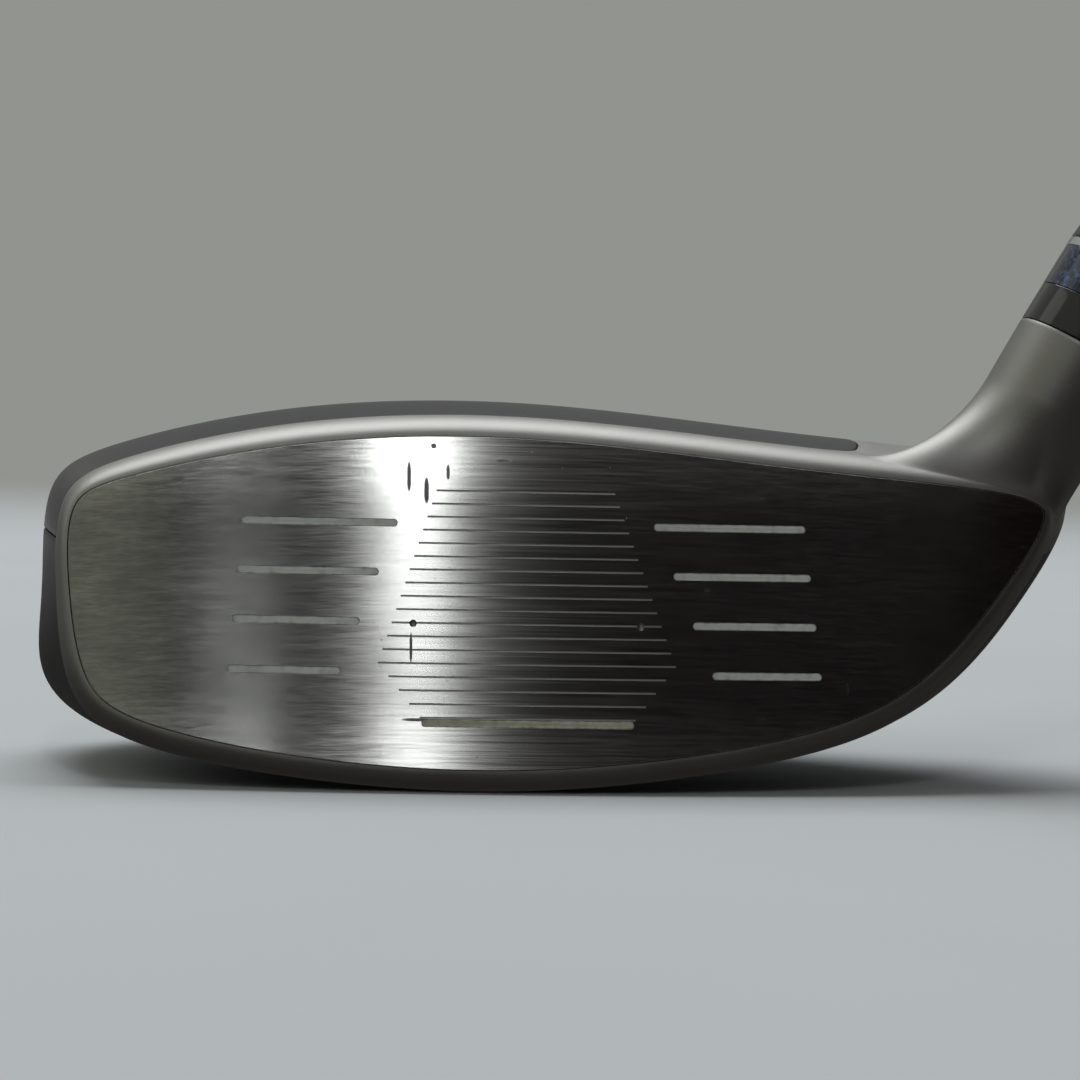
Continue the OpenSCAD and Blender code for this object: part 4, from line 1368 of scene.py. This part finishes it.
class CLUB_OT_stage(PieceOperator, bpy.types.Operator):
    """Makes the floor, the surroundings, the lamps and the camera"""

    bl_idname = "club.stage"
    bl_label = "Stage"

    FLOOR_RADIUS, FLOOR_SIDES, FADE_FROM, FADE_TO = 9.0, 96, 0.55, 1.6
    MIRROR_DISTANCE = 1.25

    def make(self, scene):
        """Everything that isn't part of the club."""
        scene.view_settings.view_transform = "Standard"
        stage = scene.club.stage
        camera = self.camera(scene, stage)
        self.floor(stage)
        self.surroundings(scene, stage)
        skin = HeadSkin(scene.club.head)
        for name, spot, size, energy in (
                ("lamp_streak", (-0.0110, 0.031), (0.060, 0.26), 1.0),
                ("lamp_toe", (-0.0303, 0.014), (0.012, 0.40), 0.036),
                ("lamp_toe_foot", (-0.0265, 0.0045), (0.055, 0.03), 0.08)):
            self.mirrored_lamp(name, skin, camera, spot, size, energy)
        self.lamp("lamp_top", (-0.1, 0.65, 1.6), (0.0, 0.05, 0.0), (1.5, 1.2), 19.0)
        self.lamp("lamp_left", (-1.5, 0.25, 1.0), (0.0, 0.05, 0.1), (0.9, 0.9), 1.2)

    def camera(self, scene, stage):
        """The camera, turned about its target."""
        data = bpy.data.cameras.new("camera")
        data.lens = stage.lens
        data.sensor_width = 36
        data.clip_start = 0.01
        data.clip_end = 50
        obj = bpy.data.objects.new("camera", data)
        scene.collection.objects.link(obj)
        azimuth, elevation = stage.azimuth, stage.elevation
        back = Vector((math.sin(azimuth) * math.cos(elevation), -math.cos(azimuth) * math.cos(elevation),
                       math.sin(elevation)))
        turn = back.to_track_quat("Z", "Y").to_matrix() @ Matrix.Rotation(stage.tilt, 3, "Z")
        obj.matrix_world = Matrix.Translation(Vector(stage.target) + back * stage.distance) @ turn.to_4x4()
        scene.camera = obj
        return np.array(obj.matrix_world.translation)

    def floor(self, stage):
        """A wide floor that fades into the backdrop's colour, and is dim in mirrors in front."""
        count = self.FLOOR_SIDES
        sides = np.linspace(0, 2 * np.pi, count, endpoint=False)
        radii = (0.6, 2.0, self.FLOOR_RADIUS)
        points = [(0, 0, 0)] + [(r * math.cos(a), r * math.sin(a), 0) for r in radii for a in sides]
        faces = [[0, 1 + k, 1 + (k + 1) % count] for k in range(count)]
        for ring in range(len(radii) - 1):
            low, high = 1 + ring * count, 1 + (ring + 1) * count
            faces += [[low + k, high + k, high + (k + 1) % count, low + (k + 1) % count]
                      for k in range(count)]
        m = Finish("floor")
        x, y = m.axes()[:2]
        away = (x * x + y * y) ** 0.5
        patches = m.noise(9, 3)
        paper = m.noise(900, 3)
        tone = m.tint(patches, shade(stage.floor, 0.96), shade(stage.floor, 1.04))
        m.set(Base_Color=tone, Roughness=m.range(paper, 0.75, 0.9), Normal=m.bump(paper, 0.00002))
        glow = m.add("ShaderNodeEmission", inputs={"Color": paint(stage.backdrop), "Strength": 1.0})
        light_path = m.add("ShaderNodeLightPath")
        seen = m.math("MAXIMUM", m.out(light_path, "Is Camera Ray"), m.out(light_path, "Is Glossy Ray"))
        share = m.step(away, self.FADE_FROM, self.FADE_TO) * seen
        faded = m.add("ShaderNodeMixShader", inputs={
            0: share, 1: m.shader.outputs[0], 2: glow.outputs[0]})
        dim = m.add("ShaderNodeEmission", inputs={"Color": (0.045, 0.042, 0.04, 1), "Strength": 1.0})
        front = 1 - m.step(y, 0.3, 0.8)
        surface = m.add("ShaderNodeMixShader", inputs={
            0: m.out(light_path, "Is Glossy Ray") * front * 0.97, 1: faded.outputs[0], 2: dim.outputs[0]})
        m.plug(m.tree.nodes["Material Output"].inputs["Surface"], surface.outputs[0])
        obj = new_mesh("floor", points, faces, closed=False)
        obj.data.materials.append(m.material)

    def surroundings(self, scene, stage):
        """A pale backdrop, and a dim studio above it."""
        world = bpy.data.worlds.new("studio")
        scene.world = world
        world.use_nodes = True
        n = Nodes(world.node_tree)
        place = n.add("ShaderNodeTexCoord").outputs["Generated"]
        split = n.add("ShaderNodeSeparateXYZ", inputs={0: place})
        x, y, z = (n.out(split, k) for k in range(3))

        behind = n.step(y, -0.25, 0.45)
        toe_side = (1 - n.step(x, -0.228, -0.200)) * (1 - n.step(z, 0.80, 0.95)) * n.step(z, 0.15, 0.35)
        dome = n.tint(toe_side, (0.012, 0.008, 0.008), (0.34, 0.34, 0.28))
        dome = n.tint(behind * 0.55, dome, (0.30, 0.31, 0.30))
        light_path = n.add("ShaderNodeLightPath")
        colour = n.tint(n.out(light_path, "Is Camera Ray"), dome, stage.backdrop)
        n.plug(world.node_tree.nodes["Background"].inputs["Color"], colour)

    def lamp(self, name, place, target, size, energy):
        """A soft rectangular lamp."""
        data = bpy.data.lights.new(name, "AREA")
        data.shape = "RECTANGLE"
        data.size, data.size_y = size
        data.energy = energy
        obj = bpy.data.objects.new(name, data)
        bpy.context.scene.collection.objects.link(obj)
        way = Vector(target) - Vector(place)
        turn = way.to_track_quat("-Z", "Y").to_matrix().to_4x4()
        obj.matrix_world = Matrix.Translation(Vector(place)) @ turn

    def mirrored_lamp(self, name, skin, camera, spot, size, energy):
        """A lamp that the camera sees mirrored in the face at a spot."""
        x, z = spot
        point = np.array([x, skin.face_y(x, z), z])
        out = skin.face_normal(np.array(x), np.array(z))
        view = camera - point
        view = view / np.linalg.norm(view)
        way = 2 * (view @ out) * out - view
        self.lamp(name, tuple(point + way * self.MIRROR_DISTANCE), tuple(point), size, energy)


class ClubSettings(bpy.types.PropertyGroup):
    """All the settings of the club."""

    head: bpy.props.PointerProperty(type=HeadSizes)
    face: bpy.props.PointerProperty(type=FaceSizes)
    finishes: bpy.props.PointerProperty(type=Finishes)
    stage: bpy.props.PointerProperty(type=StageSizes)


STEPS = (CLUB_OT_head_body, CLUB_OT_crown, CLUB_OT_face_plate, CLUB_OT_line_paint, CLUB_OT_hosel,
         CLUB_OT_ferrule, CLUB_OT_shaft, CLUB_OT_grip, CLUB_OT_weight, CLUB_OT_inner, CLUB_OT_stage)


class CLUB_PT_panel(bpy.types.Panel):
    """Lists the steps that make the club"""

    bl_idname = "CLUB_PT_panel"
    bl_label = "Hybrid golf club"
    bl_space_type = "VIEW_3D"
    bl_region_type = "UI"
    bl_category = "Club"

    def draw(self, context):
        """One button for each step."""
        for step in STEPS:
            self.layout.operator(step.bl_idname)


CLASSES = (HeadSizes, FaceSizes, Finishes, StageSizes, ClubSettings, *STEPS, CLUB_PT_panel)


def register():
    """Registers the classes and the settings."""
    for cls in CLASSES:
        bpy.utils.register_class(cls)
    bpy.types.Scene.club = bpy.props.PointerProperty(type=ClubSettings)


def unregister():
    """Takes the classes and the settings away."""
    del bpy.types.Scene.club
    for cls in reversed(CLASSES):
        bpy.utils.unregister_class(cls)


def main():
    """Makes the club and its stage."""
    register()
    for step in STEPS:
        group, name = step.bl_idname.split(".")
        getattr(getattr(bpy.ops, group), name)()


if __name__ == "__main__":
    main()
